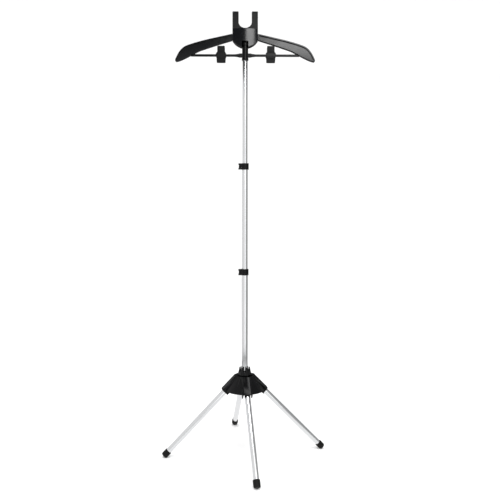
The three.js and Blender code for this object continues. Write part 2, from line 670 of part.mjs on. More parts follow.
/** A rod along Z through the hinge of a lever. */
function leverRod(radius, z0, z1) {
  return rod(radius, z0, z1, SMALL_SIDES).translate(LEVER_PIN_X, LEVER_PIN_Y, 0);
}

/** A clamp collar: the lower tube ends in its wide half, the sliding tube runs in its narrow half. */
function collar(fixedR, slidingR) {
  const half = COLLAR_HEIGHT / 2;
  const wide = fixedR + GAP;
  const narrow = slidingR + GAP;
  const ring = turned([
    [wide, -half], [COLLAR_R - EDGE, -half], [COLLAR_R, EDGE - half], [COLLAR_R, half - EDGE],
    [COLLAR_R - EDGE, half], [narrow, half], [narrow, GAP], [wide, GAP],
  ]);
  const ear = (z0, z1) => join(
    solid(leverRod(LEVER_EAR_R, z0, z1)),
    solid(box([LEVER_PIN_X, LEVER_PIN_Y - LEVER_EAR_R, z0], [0, LEVER_PIN_Y + LEVER_EAR_R, z1])),
  );
  const ears = join(ear(-half, COLLAR_EAR - half), ear(half - COLLAR_EAR, half));
  const bore = join(solid(rod(wide, -half - PASS, GAP)), solid(rod(narrow, 0, half + PASS)));
  const seatHalf = LEVER_HALF_HEIGHT + GAP;
  const [from, to] = [LEVER_SWEEP[0] - LEVER_ROOM[0], LEVER_SWEEP[1] + LEVER_ROOM[1]];
  const seatR = LEVER_R - LEVER_THICK - GAP;
  const seat = slabXY(sector(seatR, LEVER_R + PASS, from, to), -seatHalf, seatHalf);
  const slit = box([0, -COLLAR_SLIT_HALF, PASS], [COLLAR_R + PASS, COLLAR_SLIT_HALF, half + PASS])
    .rotateZ(THREE.MathUtils.degToRad(COLLAR_SLIT_BEARING));
  const pinHole = leverRod(SMALL_PIN_R + GAP, -half - PASS, half + PASS);
  return cut(join(solid(ring), ears), bore, solid(seat), solid(slit), solid(pinHole));
}

/** The lever that wraps round the front of a collar and swings out from its left side. */
function collarLever() {
  const half = LEVER_HALF_HEIGHT;
  const inner = LEVER_R - LEVER_THICK;
  const [start, end] = LEVER_SWEEP;
  const band = slabXY(sector(inner, LEVER_R, start, end), -half, half);
  const lift = slabXY(sector(
    LEVER_R - LEVER_THICK / 2, LEVER_R + LEVER_LIFT, end - LEVER_TIP[0], end + LEVER_TIP[1], 4,
  ), -half, half);
  const barrel = leverRod(LEVER_BARREL_R, -half, half);
  const web = slabXY([
    [LEVER_PIN_X, LEVER_PIN_Y + PASS], [LEVER_PIN_X, LEVER_PIN_Y - LEVER_BARREL_R],
    ...arc(0, 0, LEVER_R, LEVER_ROOT, start + 2, 4), ...arc(0, 0, inner, start + 2, start, 1),
  ], -half, half);
  const hole = leverRod(SMALL_PIN_R + GAP, -COLLAR_HEIGHT, COLLAR_HEIGHT);
  return cut(join(solid(band), solid(lift), solid(barrel), solid(web)), solid(hole));
}

[
  ['lower', LOWER_COLLAR_Z, LOWER_TUBE_R, MIDDLE_TUBE_R],
  ['upper', UPPER_COLLAR_Z, MIDDLE_TUBE_R, UPPER_TUBE_R],
].forEach(([name, z, fixedR, slidingR]) => {
  const clamp = new THREE.Group();
  clamp.position.z = z;
  stand.add(clamp);
  piece(`${name}_collar`, collar(fixedR, slidingR), 'satinBlack', clamp);
  piece(`${name}_collar_lever`, collarLever(), 'satinBlack', clamp);
  const half = COLLAR_HEIGHT / 2 - PIN_INSET;
  piece(`${name}_collar_pin`, leverRod(SMALL_PIN_R, -half, half), 'steel', clamp);
});

// ---------------------------------------------------------------- hanger neck and head

const NECK_TOP_Z = MAST_TOP_Z - NECK_FLANGE_DROP;
const NECK_BORE_R = UPPER_TUBE_R + GAP;

/** The stop ring on the mast that carries the hanger. */
function neckRing() {
  const z1 = NECK_Z0 - GAP;
  const z0 = z1 - RING_HEIGHT;
  return turned([
    [NECK_BORE_R, z0], [RING_R - EDGE, z0], [RING_R, z0 + EDGE], [RING_R, z1], [NECK_BORE_R, z1],
  ]);
}

/** The sleeve that turns on the mast, with a pair of ears on each side for the wings. */
function neckSleeve() {
  const sleeve = turned([
    [NECK_BORE_R, NECK_Z0], [NECK_R, NECK_Z0], [NECK_R, NECK_TOP_Z - NECK_FLANGE],
    [NECK_FLANGE_R, NECK_TOP_Z - NECK_FLANGE], [NECK_FLANGE_R, NECK_TOP_Z], [NECK_BORE_R, NECK_TOP_Z],
  ]);
  let body = solid(sleeve);
  const inner = BAR_EYE_HALF_DEPTH + GAP;
  for (const side of [-1, 1]) {
    const pivot = side * WING_PIVOT_X;
    const start = side > 0 ? -90 : 90;
    const end = arc(pivot, BAR_Z, BAR_EYE_R, start, start + 180);
    const ear = [...end, [0, BAR_Z + side * BAR_EYE_R], [0, BAR_Z - side * BAR_EYE_R]];
    body = body.add(solid(slabXZ(ear, inner, inner + EAR_THICK)));
    body = body.add(solid(slabXZ(ear, -inner - EAR_THICK, -inner)));
    body = body.subtract(solid(rodAlongY(SMALL_PIN_R + GAP, pivot, BAR_Z, -NECK_R, NECK_R)));
  }
  return cut(body, solid(rod(NECK_BORE_R, NECK_Z0 - PASS, NECK_TOP_Z + PASS)));
}

const headArc = sagArc(HEAD_HALF_WIDTH, HEAD_SIDE_Z, HEAD_BOTTOM_Z);

/** The head's outline in x and z, inset by a wall thickness. */
function headOutline(wall) {
  const half = HEAD_HALF_WIDTH - wall;
  const radius = headArc.radius - wall;
  const reach = THREE.MathUtils.radToDeg(Math.asin(half / radius));
  const bottom = arc(0, headArc.centre, radius, -90 - reach, reach - 90, 12);
  return [...bottom, [half, HEAD_TOP_Z - wall], [-half, HEAD_TOP_Z - wall]];
}

/** The head's plan in x and y for one cover, bulging by an arc, inset by a wall thickness. */
function headPlan(side, depth, bulge, wall) {
  const { radius, centre } = sagArc(HEAD_HALF_WIDTH, bulge, 0);
  const reach = THREE.MathUtils.radToDeg(Math.asin(HEAD_HALF_WIDTH / radius));
  const face = arc(0, -depth + centre, radius - wall, -90 - reach, reach - 90, 12);
  const open = wall > 0 ? 1 : -GAP / 2;
  return [...face, [HEAD_HALF_WIDTH, open], [-HEAD_HALF_WIDTH, open]].map(([x, y]) => [x, -side * y]);
}

/** The tongue at the root of an arm, as an outline in x and z. */
function tongueOutline(margin, reach) {
  const slope = (points) => (points[1][1] - points[0][1]) / (points[1][0] - points[0][0]);
  const [top, low] = [slope(ARM_TOP), slope(ARM_BOTTOM)];
  const step = TONGUE_STEP - margin;
  const at = (points, k, x, shift) => [x, points[0][1] + k * (x - ARM_ROOT_X) + shift];
  const inner = ARM_TONGUE_X - margin;
  return [
    at(ARM_BOTTOM, low, inner, step), at(ARM_BOTTOM, low, reach, step),
    at(ARM_TOP, top, reach, -step), at(ARM_TOP, top, inner, -step),
  ];
}

/** The solid within the head's outline and one cover's plan, inset by a wall thickness. */
function headBody(side, depth, bulge, wall) {
  const far = depth + PASS;
  const [y0, y1] = side > 0 ? [-PASS, far] : [-far, PASS];
  const plan = headPlan(side, depth, bulge, wall);
  return solid(slabXZ(headOutline(wall), y0, y1))
    .intersect(solid(slabXY(plan, HEAD_BOTTOM_Z - PASS, HEAD_TOP_Z + PASS)));
}

/** One half of the head; side is 1 for the back and -1 for the front. */
function headCover(side, depth, bulge) {
  const [y0, y1] = side > 0 ? [0, depth] : [-depth, 0];
  const flangeUnder = NECK_TOP_Z - NECK_FLANGE - GAP;
  const flangeOver = NECK_TOP_Z + GAP;
  const room = HEAD_HALF_WIDTH;
  const shelf = solid(box([-room, y0, flangeUnder - HEAD_SHELF], [room, y1, flangeUnder]));
  const bosses = [-SCREW_X, SCREW_X].map((x) => solid(rodAlongY(SCREW_BOSS_R, x, SCREW_Z, y0, y1)));
  const keepers = [-SCREW_X, SCREW_X].map((x) =>
    solid(box([x - KEEPER_HALF, y0, flangeOver], [x + KEEPER_HALF, y1, SCREW_Z])));
  const fittings = join(shelf, ...bosses, ...keepers)
    .intersect(headBody(side, depth, bulge, HEAD_WALL / 2))
    .subtract(solid(box([-room, -GAP / 2, 0], [room, GAP / 2, HEAD_TOP_Z])));
  const shell = headBody(side, depth, bulge, 0).subtract(headBody(side, depth, bulge, HEAD_WALL));
  const neckHole = rod(NECK_R + GAP * 2, HEAD_BOTTOM_Z - PASS, NECK_TOP_Z);
  const capRoom = rod(NECK_FLANGE_R + GAP, flangeUnder, NECK_TOP_Z + PLUG_FLANGE * 2);
  const tang = box(
    [-TANG_HALF_WIDTH - GAP, -TANG_DEPTH / 2 - GAP, HEAD_TOP_Z - HEAD_WALL - PASS],
    [TANG_HALF_WIDTH + GAP, TANG_DEPTH / 2 + GAP, HEAD_TOP_Z + PASS],
  );
  const windowHalf = TONGUE_HALF_DEPTH + GAP * 2;
  const window = tongueOutline(WINDOW_MARGIN, HEAD_HALF_WIDTH + PASS * 2);
  const windows = [-1, 1].map((way) =>
    solid(slabXZ(window.map(([x, z]) => [way * x, z]), -windowHalf, windowHalf)));
  return cut(join(shell, fittings), solid(neckHole), solid(capRoom), solid(tang), ...windows);
}

function frontCover() {
  const notch = box(
    [-NOTCH_HALF_WIDTH, -HEAD_FRONT - PASS, HEAD_BOTTOM_Z - PASS],
    [NOTCH_HALF_WIDTH, 0, NOTCH_TOP_Z],
  );
  const threads = [-SCREW_X, SCREW_X].map((x) =>
    solid(rodAlongY(SMALL_PIN_R + GAP, x, SCREW_Z, -THREAD_REACH, PASS)));
  return cut(headCover(-1, HEAD_FRONT, HEAD_BULGE), solid(notch), ...threads);
}

const SCREW_SEAT_Y = HEAD_BACK - HEAD_BACK_BULGE - SCREW_HEAD;

function backCover() {
  const holes = [-SCREW_X, SCREW_X].map((x) => join(
    solid(rodAlongY(SMALL_PIN_R + GAP, x, SCREW_Z, -PASS, HEAD_BACK + PASS)),
    solid(rodAlongY(SCREW_HEAD_R + GAP, x, SCREW_Z, SCREW_SEAT_Y, HEAD_BACK + PASS)),
  ));
  return cut(headCover(1, HEAD_BACK, HEAD_BACK_BULGE), ...holes);
}

function coverScrew() {
  const [y0, y1] = [SCREW_SEAT_Y + GAP, SCREW_SEAT_Y + GAP + SCREW_HEAD];
  const head = rodAlongY(SCREW_HEAD_R, 0, 0, y0, y1);
  const shank = rodAlongY(SMALL_PIN_R, 0, 0, -SCREW_REACH, y0 + SCREW_HEAD / 2);
  const slot = box([-SCREW_HEAD_R, y1 - SCREW_SLOT, -SCREW_SLOT_HALF], [SCREW_HEAD_R, y1, SCREW_SLOT_HALF]);
  return cut(join(solid(head), solid(shank)), solid(slot));
}

/** The open fork on top of the head: two prongs and a tang that the covers hold. */
function cradleFork() {
  const [outer, inner] = [FORK_HALF_WIDTH, FORK_GAP_HALF_WIDTH];
  const [base, tip, half] = [HEAD_TOP_Z + GAP, FORK_TIP_R, FORK_DEPTH / 2];
  const cornerZ = FORK_BOTTOM_Z + FORK_GAP_CORNER;
  const right = [
    ...arc(outer - tip, FORK_TOP_Z - tip, tip, 0, 90, 3),
    ...arc(inner + tip, FORK_TOP_Z - tip, tip, 90, 180, 3),
    ...arc(inner - FORK_GAP_CORNER, cornerZ, FORK_GAP_CORNER, 0, -90),
  ];
  const left = right.map(([x, z]) => [-x, z]).reverse();
  const frame = solid(slabXZ([[outer, base], ...right, ...left, [-outer, base]], -half, half, EDGE));
  const recesses = [-1, 1].map((side) => {
    const corners = [
      [inner + FORK_RIM, cornerZ - FORK_GAP_CORNER / 2], [outer - FORK_RIM, base + FORK_RIM],
      [outer - FORK_RIM, FORK_TOP_Z - FORK_RIM], [inner + FORK_RIM, FORK_TOP_Z - FORK_RIM],
    ].map(([x, z]) => [side * x, z]);
    return join(
      solid(slabXZ(corners, -half - PASS, FORK_RECESS - half)),
      solid(slabXZ(corners, half - FORK_RECESS, half + PASS)),
    );
  });
  const tang = box(
    [-TANG_HALF_WIDTH, -TANG_DEPTH / 2, HEAD_TOP_Z - TANG_LENGTH],
    [TANG_HALF_WIDTH, TANG_DEPTH / 2, base + PASS],
  );
  return cut(join(frame, solid(tang)), ...recesses);
}

piece('neck_ring', neckRing(), 'satinBlack');
piece('neck_sleeve', neckSleeve(), 'satinBlack');
piece('front_cover', frontCover(), 'glossBlack');
piece('back_cover', backCover(), 'glossBlack');
piece('cradle_fork', cradleFork(), 'satinBlack');

// ---------------------------------------------------------------- wings

/** The outline of the right arm in x and z. */
function armOutline() {
  return [...smooth(ARM_BOTTOM, ARM_STEPS), ...smooth(ARM_TOP, ARM_STEPS).reverse()];
}

/** An arm: a rim round a thin web, a tongue in the head and a socket for the bar. */
function arm(side) {
  const mirrored = (points) => points.map(([x, z]) => [side * x, z]);
  const body = solid(slabXZ(mirrored(armOutline()), -ARM_HALF_DEPTH, ARM_HALF_DEPTH));
  const pocket = mirrored(inset(armOutline(), ARM_RIM));
  const front = solid(slabXZ(pocket, -ARM_HALF_DEPTH - PASS, -ARM_WEB / 2));
  const back = solid(slabXZ(pocket, ARM_WEB / 2, ARM_HALF_DEPTH + PASS));
  const ends = [BAR_END_X - SOCKET_LENGTH, BAR_END_X + GAP].map((x) => side * x);
  const [x0, x1] = ends.sort((a, b) => a - b);
  const [holeY, holeZ] = [BAR_HALF_DEPTH + GAP, BAR_HALF_HEIGHT + GAP];
  const [sy, sz] = [holeY + SOCKET_WALL, holeZ + SOCKET_WALL];
  const socket = solid(box([x0 - SOCKET_END, -sy, BAR_Z - sz], [x1 + SOCKET_END, sy, BAR_Z + sz]))
    .intersect(solid(slabXZ(mirrored(armOutline()), -sy, sy)));
  const root = mirrored(tongueOutline(0, ARM_ROOT_X + TONGUE_OVERLAP));
  const tongue = solid(slabXZ(root, -TONGUE_HALF_DEPTH, TONGUE_HALF_DEPTH));
  const hole = box([x0, -holeY, BAR_Z - holeZ], [x1, holeY, BAR_Z + holeZ]);
  return cut(join(cut(body, front, back), socket, tongue), solid(hole));
}

/** Half of the trouser bar, from its eye at the neck to its end in the arm. */
function bar(side) {
  const straight = [
    [WING_PIVOT_X, BAR_Z - BAR_EYE_R], [BAR_TAPER_X, BAR_Z - BAR_HALF_HEIGHT],
    [BAR_END_X, BAR_Z - BAR_HALF_HEIGHT], [BAR_END_X, BAR_Z + BAR_HALF_HEIGHT],
    [BAR_TAPER_X, BAR_Z + BAR_HALF_HEIGHT], [WING_PIVOT_X, BAR_Z + BAR_EYE_R],
  ].map(([x, z]) => [side * x, z]);
  const pivot = side * WING_PIVOT_X;
  const eye = solid(rodAlongY(BAR_EYE_R, pivot, BAR_Z, -BAR_EYE_HALF_DEPTH, BAR_EYE_HALF_DEPTH));
  const shank = solid(slabXZ(straight, -BAR_HALF_DEPTH, BAR_HALF_DEPTH, BAR_CHAMFER));
  const hole = rodAlongY(SMALL_PIN_R + GAP, pivot, BAR_Z, -NECK_R, NECK_R);
  return cut(join(eye, shank), solid(hole));
}

function wingPin() {
  const reach = BAR_EYE_HALF_DEPTH + GAP + EAR_THICK;
  return rodAlongY(SMALL_PIN_R, 0, 0, -reach, reach);
}

for (const [name, side] of [['left', -1], ['right', 1]]) {
  piece(`${name}_arm`, arm(side), 'glossBlack');
  piece(`${name}_bar`, bar(side), 'satinBlack');
  piece(`${name}_wing_pin`, wingPin(), 'nylon').position.set(side * WING_PIVOT_X, 0, BAR_Z);
  piece(`${name}_cover_screw`, coverScrew(), 'steel').position.set(side * SCREW_X, 0, SCREW_Z);
}

// ---------------------------------------------------------------- trouser clips

// Side view of a jaw's plate, in y and z from the bar's centre, for the back jaw.
const JAW_LINE = [[9.5, CLIP_TOP], [8.8, 14], [7.4, 6], [7.4, -5], [5.4, -13], [4.6, -CLIP_BOTTOM]];

/** Front view of a jaw, in x and z from the bar's centre. */
const JAW_OUTLINE = [
  [TAB_HALF_WIDTH, CLIP_TOP], [TAB_HALF_WIDTH, 10], [CLIP_HALF_WIDTH, 5], [CLIP_HALF_WIDTH, -4],
  [JAW_HALF_WIDTH + 0.6, -7], [JAW_HALF_WIDTH, -CLIP_BOTTOM],
];
const JAW_TIP_Y = JAW_LINE.at(-1)[0];
const WAIST_Y = JAW_LINE[2][0]; // middle of the plate beside the bar
const PAD_BACK_Y = JAW_TIP_Y - CLIP_PLATE / 2 - GAP - PAD_BACKING;

/** The plate of a jaw; side is 1 for the back jaw and -1 for the front one. */
function jawPlate(side) {
  const profile = strip(smooth(JAW_LINE, 8), CLIP_PLATE).map(([y, z]) => [side * y, z]);
  const outlineXZ = [...JAW_OUTLINE, ...JAW_OUTLINE.map(([x, z]) => [-x, z]).reverse()];
  return solid(slabYZ(profile, -CLIP_HALF_WIDTH, CLIP_HALF_WIDTH))
    .intersect(solid(slabXZ(outlineXZ, -CLIP_TOP, CLIP_TOP)));
}

/** A pair of pivot lugs that reach from a jaw's plate to the clip's pin. */
function pivotLugs([x0, x1], side, low) {
  const top = CLIP_PIVOT_Z + CLIP_EYE_R;
  const link = [[side * LUG_REACH, top], [0, top], [0, low], [side * LUG_REACH, low]];
  return join(...[[x0, x1], [-x1, -x0]].map(([a, b]) => join(
    solid(rodAlongX(CLIP_EYE_R, 0, CLIP_PIVOT_Z, a, b)),
    solid(slabYZ(link, a, b)),
  )));
}

function clipPinHole() {
  return solid(rodAlongX(CLIP_PIN_R + GAP, 0, CLIP_PIVOT_Z, -CLIP_HALF_WIDTH, CLIP_HALF_WIDTH));
}

function clipBackJaw() {
  const saddleTop = CLIP_PIVOT_Z - CLIP_EYE_R - GAP * 2;
  const saddle = solid(box(
    [-SADDLE_HALF_WIDTH, -SADDLE_HALF_DEPTH, -BAR_HALF_HEIGHT - SADDLE_LIP],
    [SADDLE_HALF_WIDTH, WAIST_Y, saddleTop],
  ));
  const barHole = box(
    [-CLIP_HALF_WIDTH - PASS, -BAR_HALF_DEPTH - GAP, -BAR_HALF_HEIGHT - GAP],
    [CLIP_HALF_WIDTH + PASS, BAR_HALF_DEPTH + GAP, BAR_HALF_HEIGHT + GAP],
  );
  const lugs = pivotLugs(CHEEK_X, 1, saddleTop - PASS);
  return cut(join(jawPlate(1), saddle, lugs), solid(barHole), clipPinHole());
}

function clipFrontJaw() {
  const lugs = pivotLugs(EAR_X, -1, CLIP_PIVOT_Z - CLIP_EYE_R);
  const half = JAW_HALF_WIDTH - PANEL_RIM;
  const panel = box(
    [-half, -WAIST_Y - CLIP_PLATE, PANEL_RIM - CLIP_BOTTOM],
    [half, PANEL_DEPTH - WAIST_Y - CLIP_PLATE / 2, PANEL_TOP],
  );
  return cut(join(jawPlate(-1), lugs), clipPinHole(), solid(panel));
}

/** A torsion spring: a coil round the pin with a wire up each finger tab. */
function clipSpring() {
  const coil = tube(CLIP_PIN_R + SPRING_COIL, CLIP_PIN_R + GAP, -SPRING_HALF, SPRING_HALF, SMALL_SIDES)
    .rotateY(Math.PI / 2)
    .translate(0, 0, CLIP_PIVOT_Z);
  const wire = (x, from, to) => solid(slabYZ(strip([from, to], SPRING_WIRE), x, x + SPRING_WIRE));
  const backWire = wire(BACK_WIRE_X, [WIRE_ROOT_Y, CLIP_PIVOT_Z], BACK_WIRE_END);
  const frontWire = wire(FRONT_WIRE_X, [-WIRE_ROOT_Y, CLIP_PIVOT_Z], FRONT_WIRE_END);
  return join(solid(coil), backWire, frontWire);
}

/** A ribbed rubber pad inside the tip of a jaw. */
function clipPad(side) {
  const low = PAD_LIFT - CLIP_BOTTOM;
  const pitch = PAD_HEIGHT / PAD_RIBS;
  const face = side * GAP;
  const ribs = Array.from({ length: PAD_RIBS }, (_, i) => {
    const z = low + pitch * i;
    return [[face, z], [face, z + pitch / 2], [face + side * PAD_GROOVE, z + pitch * 0.75]];
  });
  const back = side * PAD_BACK_Y;
  const section = [...ribs.flat(), [face, low + PAD_HEIGHT], [back, low + PAD_HEIGHT], [back, low]];
  const half = JAW_HALF_WIDTH - PAD_INSET;
  return slabYZ(section, -half, half);
}

for (const [name, x] of [['left', LEFT_CLIP_X], ['right', RIGHT_CLIP_X]]) {
  const clip = new THREE.Group();
  clip.position.set(x, 0, BAR_Z);
  stand.add(clip);
  piece(`${name}_clip_back_jaw`, clipBackJaw(), 'satinBlack', clip);
  piece(`${name}_clip_front_jaw`, clipFrontJaw(), 'satinBlack', clip);
  piece(`${name}_clip_spring`, clipSpring(), 'steel', clip);
  piece(`${name}_clip_pin`, rodAlongX(CLIP_PIN_R, 0, CLIP_PIVOT_Z, -EAR_X[1], EAR_X[1]), 'steel', clip);
  piece(`${name}_clip_back_pad`, clipPad(1), 'rubber', clip);
  piece(`${name}_clip_front_pad`, clipPad(-1), 'rubber', clip);
}

export default stand;
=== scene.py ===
# %% [markdown]
# # A folding valet stand
#
# The stand is an aluminium mast on four folding legs, with a moulded coat hanger on top. Its
# frame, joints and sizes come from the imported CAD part. This lesson builds the fine surface of
# every piece round that frame: smooth tubes, moulded plastic with rounded edges, rubber feet.

# %% The frame
import json
import math

import bmesh
import bpy
from mathutils import Matrix, Vector


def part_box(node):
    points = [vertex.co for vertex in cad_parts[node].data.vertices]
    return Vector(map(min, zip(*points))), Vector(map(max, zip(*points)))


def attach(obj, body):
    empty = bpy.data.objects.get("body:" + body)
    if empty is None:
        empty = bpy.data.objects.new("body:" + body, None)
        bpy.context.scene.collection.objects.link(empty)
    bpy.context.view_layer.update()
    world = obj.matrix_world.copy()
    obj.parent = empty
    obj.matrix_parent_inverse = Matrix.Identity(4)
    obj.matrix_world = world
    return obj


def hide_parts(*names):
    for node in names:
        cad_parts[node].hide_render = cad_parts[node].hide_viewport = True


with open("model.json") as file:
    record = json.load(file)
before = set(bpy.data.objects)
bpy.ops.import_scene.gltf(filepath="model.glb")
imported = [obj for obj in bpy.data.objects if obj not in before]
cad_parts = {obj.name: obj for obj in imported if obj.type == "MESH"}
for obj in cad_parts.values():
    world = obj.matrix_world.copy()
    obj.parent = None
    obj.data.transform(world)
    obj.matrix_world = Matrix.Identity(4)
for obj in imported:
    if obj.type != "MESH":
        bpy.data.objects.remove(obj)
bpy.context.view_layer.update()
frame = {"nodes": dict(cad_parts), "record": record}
record = frame["record"]
body_of_node = {n: body for body, nodes in record["behaviour"]["bodies"].items() for n in nodes}
slot_of_node = {entry["node"]: entry["material_slot"] for entry in record["subparts"]}
joint_named = {joint["name"]: joint for joint in record["behaviour"]["joints"]}

# %% [markdown]
# Lengths are in metres, so a size in millimetres is written as a number times `MM`. The gap is
# the clearance that the CAD part leaves between pieces that touch.

# %% Units and shared sizes
MM = 0.001
GAP = 0.3 * MM
PIN_R = 1.5 * MM
TUBE_WALL = 0.8 * MM
LEG_WALL = 1.0 * MM
ROUND = 96  # facets round a large turned piece
FINE = 40  # facets round a pin or a screw
MERGE, MERGE_CUT = 1e-7, 2e-6  # how near points are merged, as made and after a boolean
SHARP_ANGLE, SHARP_WEIGHT = math.radians(40), 60
AXIS_X, AXIS_Y, AXIS_Z = Vector((1, 0, 0)), Vector((0, 1, 0)), Vector((0, 0, 1))
SIDES = (("left", -1), ("right", 1))
WHITE = (1, 1, 1, 1)

# %% [markdown]
# ## Shader maths
#
# One function adds any node to any tree: its settings come first, because they decide which
# sockets it has, and then each input is linked or set. A wrapped socket lets a pattern be written
# as an ordinary expression. Each operator adds one Math node, and the reflected forms let
# `1 - mask` work too.


# %% Adding a node
def link(tree, value, socket):
    """Links a socket, wrapped or not, or sets a plain value."""
    value = getattr(value, "socket", value)
    if isinstance(value, bpy.types.NodeSocket):
        tree.links.new(value, socket)
    else:
        socket.default_value = value


def add_node(tree, kind, settings, inputs):
    node = tree.nodes.new(kind)
    for key, value in (settings or {}).items():
        setattr(node, key, value)
    for key, value in (inputs or {}).items():
        link(tree, value, node.inputs[key])
    return node


# %% A wrapped socket and a material with one Principled shader
class Value:
    """A number socket in a shader that can be added, subtracted and multiplied."""

    def __init__(self, finish, socket):
        self.finish = finish
        self.socket = socket

    def _math(self, operation, first, second):
        return self.finish.add("ShaderNodeMath", {"operation": operation}, {0: first, 1: second})

    def __add__(self, other):
        return self._math("ADD", self, other)

    def __sub__(self, other):
        return self._math("SUBTRACT", self, other)

    def __mul__(self, other):
        return self._math("MULTIPLY", self, other)

    def __rsub__(self, other):
        return self._math("SUBTRACT", other, self)

    __radd__ = __add__
    __rmul__ = __mul__


class Finish:
    """A material; add() makes any node from its type, its settings and its inputs."""

    def __init__(self, name, color, roughness, metallic=0.0, specular=0.5, glow=0.0):
        self.material = bpy.data.materials.new(name)
        self.material.use_nodes = True
        self.material.diffuse_color = (*color, 1)
        self.tree = self.material.node_tree
        self.shader = self.tree.nodes["Principled BSDF"]
        constants = {"Base Color": (*color, 1), "Roughness": roughness, "Metallic": metallic,
                     "Specular IOR Level": specular, "Emission Color": WHITE,
                     "Emission Strength": glow}
        for socket, value in constants.items():
            self.shader.inputs[socket].default_value = value

    def add(self, kind, settings=None, inputs=None, output=0):
        return Value(self, add_node(self.tree, kind, settings, inputs).outputs[output])

    def place(self, attribute=None):
        """Where the pattern is read: the object, or a piece's own stored coordinates."""
        if attribute:
            return self.add("ShaderNodeAttribute", {"attribute_name": attribute}, output="Vector")
        return self.add("ShaderNodeTexCoord", output="Object")

    def noise(self, where, scale, detail=3.0, stretch=(1, 1, 1)):
        """A noise pattern in 0..1, with its scale in cycles per metre."""
        moved = self.add("ShaderNodeMapping", inputs={"Vector": where, "Scale": stretch})
        inputs = {"Vector": moved, "Scale": scale, "Detail": detail}
        return self.add("ShaderNodeTexNoise", inputs=inputs)

    def wire(self, socket, value):
        link(self.tree, value, self.shader.inputs[socket])

    def bump(self, height, distance):
        inputs = {"Height": height, "Distance": distance, "Strength": 1.0}
        self.wire("Normal", self.add("ShaderNodeBump", inputs=inputs))

    def tint(self, dark, light, mask):
        inputs = {6: (*dark, 1), 7: (*light, 1), "Factor": mask}
        self.wire("Base Color", self.add("ShaderNodeMix", {"data_type": "RGBA"}, inputs, output=2))


# %% [markdown]
# ## The finishes
#
# The tubes are bright drawn aluminium with a satin anodised skin: fine lines run along them, so
# their pattern follows coordinates stored on each tube. The head and arms are glossy black
# plastic, the other mouldings have a fine matt grain, and the feet are soft rubber.


# %% Aluminium
def satin_aluminium():
    finish = Finish("satin_aluminium", (0.86, 0.865, 0.875), 0.2, metallic=1.0)
    own = finish.place("own")
    lines = finish.noise(own, 1400, 2, stretch=(1, 1, 0.012))
    wear = finish.noise(own, 26, 4, stretch=(1, 1, 0.5))
    finish.wire("Roughness", 0.13 + lines * 0.06 + wear * 0.05)
    finish.tint((0.80, 0.81, 0.83), (0.90, 0.905, 0.91), wear)
    finish.bump(lines, 0.004 * MM)
    return finish.material


# %% Black mouldings
def black_moulding(name, color, specular, rough, grain, relief, bloom=None):
    """rough is the lowest roughness, its span, and the scale and detail of its patches.

    bloom holds the darkest and the lightest grey of the same patches, as on worn rubber.
    """
    finish = Finish(name, color, rough[0], specular=specular)
    place = finish.place()
    finish.bump(finish.noise(place, *grain), relief * MM)
    if len(rough) > 1:
        low, span, scale, detail = rough
        patches = finish.noise(place, scale, detail)
        finish.wire("Roughness", low + patches * span)
        if bloom:
            finish.tint(*bloom, patches)
    return finish.material


# %% Steel
def steel_pin():
    finish = Finish("steel_pin", (0.55, 0.56, 0.57), 0.3, metallic=1.0)
    scratch = finish.noise(finish.place(), 900, 3, stretch=(1, 1, 0.2))
    finish.wire("Roughness", 0.24 + scratch * 0.16)
    return finish.material


# %% All finishes by the name of their slot
FINISHES = {"satin_aluminium": satin_aluminium(), "steel_pin": steel_pin()}
for entry in (
    ("gloss_black_plastic", (0.002, 0.0024, 0.0036), 0.4, (0.14, 0.09, 35, 3), (420, 2), 0.012),
    ("satin_black_plastic", (0.0015, 0.0016, 0.002), 0.2, (0.26, 0.1, 40, 3), (1500, 3), 0.02),
    ("black_rubber", (0.003, 0.003, 0.003), 0.2, (0.5, 0.22, 90, 4), (2200, 2), 0.025,
     ((0.002, 0.002, 0.002), (0.005, 0.005, 0.005))),
    ("black_nylon", (0.002, 0.002, 0.0025), 0.2, (0.5,), (1100, 2), 0.02),
):
    FINISHES[entry[0]] = black_moulding(*entry)
print("finishes:", sorted(FINISHES))

# %% [markdown]
# ## Solid shapes
#
# Moulded pieces are made as a mould maker thinks of them: turned and extruded solids that are
# joined and cut. The joins are exact booleans, and a bevel then rounds every edge.


# %% Turned and extruded solids
def new_object(name, data):
    thing = bpy.data.objects.new(name, data)
    bpy.context.collection.objects.link(thing)
    return thing


def new_mesh(name, points, edges, faces):
    mesh = bpy.data.meshes.new(name)
    mesh.from_pydata([tuple(p) for p in points], edges, faces)
    return mesh


def aligned(thing):
    """Merges a mesh's doubles and then turns its faces outwards."""
    bm = bmesh.new()
    bm.from_mesh(thing.data)
    bmesh.ops.remove_doubles(bm, verts=bm.verts, dist=MERGE)
    bmesh.ops.recalc_face_normals(bm, faces=bm.faces)
    bm.to_mesh(thing.data)
    bm.free()
    return thing


def from_faces(name, points, faces):
    return aligned(new_object(name, new_mesh(name, points, [], faces)))


def turned(profile, sides=ROUND, place=None):
    """A closed [radius, z] profile turned about the z axis of a place."""
    place = place or Matrix()
    count = len(profile)
    points, faces = [], []
    for step in range(sides):
        angle = 2 * math.pi * step / sides
        points += [place @ Vector((r * math.cos(angle), r * math.sin(angle), z)) for r, z in profile]
    for step in range(sides):
        here, there = step * count, (step + 1) % sides * count
        for i in range(count):
            k = (i + 1) % count
            faces.append((here + i, there + i, there + k, here + k))
    return from_faces("turned", points, faces)


def tube_solid(outer, inner, z0, z1):
    return turned([(inner, z0), (outer, z0), (outer, z1), (inner, z1)])


def rod_solid(radius, z0, z1, sides=ROUND, place=None):
    place = place or Matrix()
    ring = [(radius * math.cos(2 * math.pi * i / sides), radius * math.sin(2 * math.pi * i / sides))
            for i in range(sides)]
    return prism(ring, z0, z1, place)


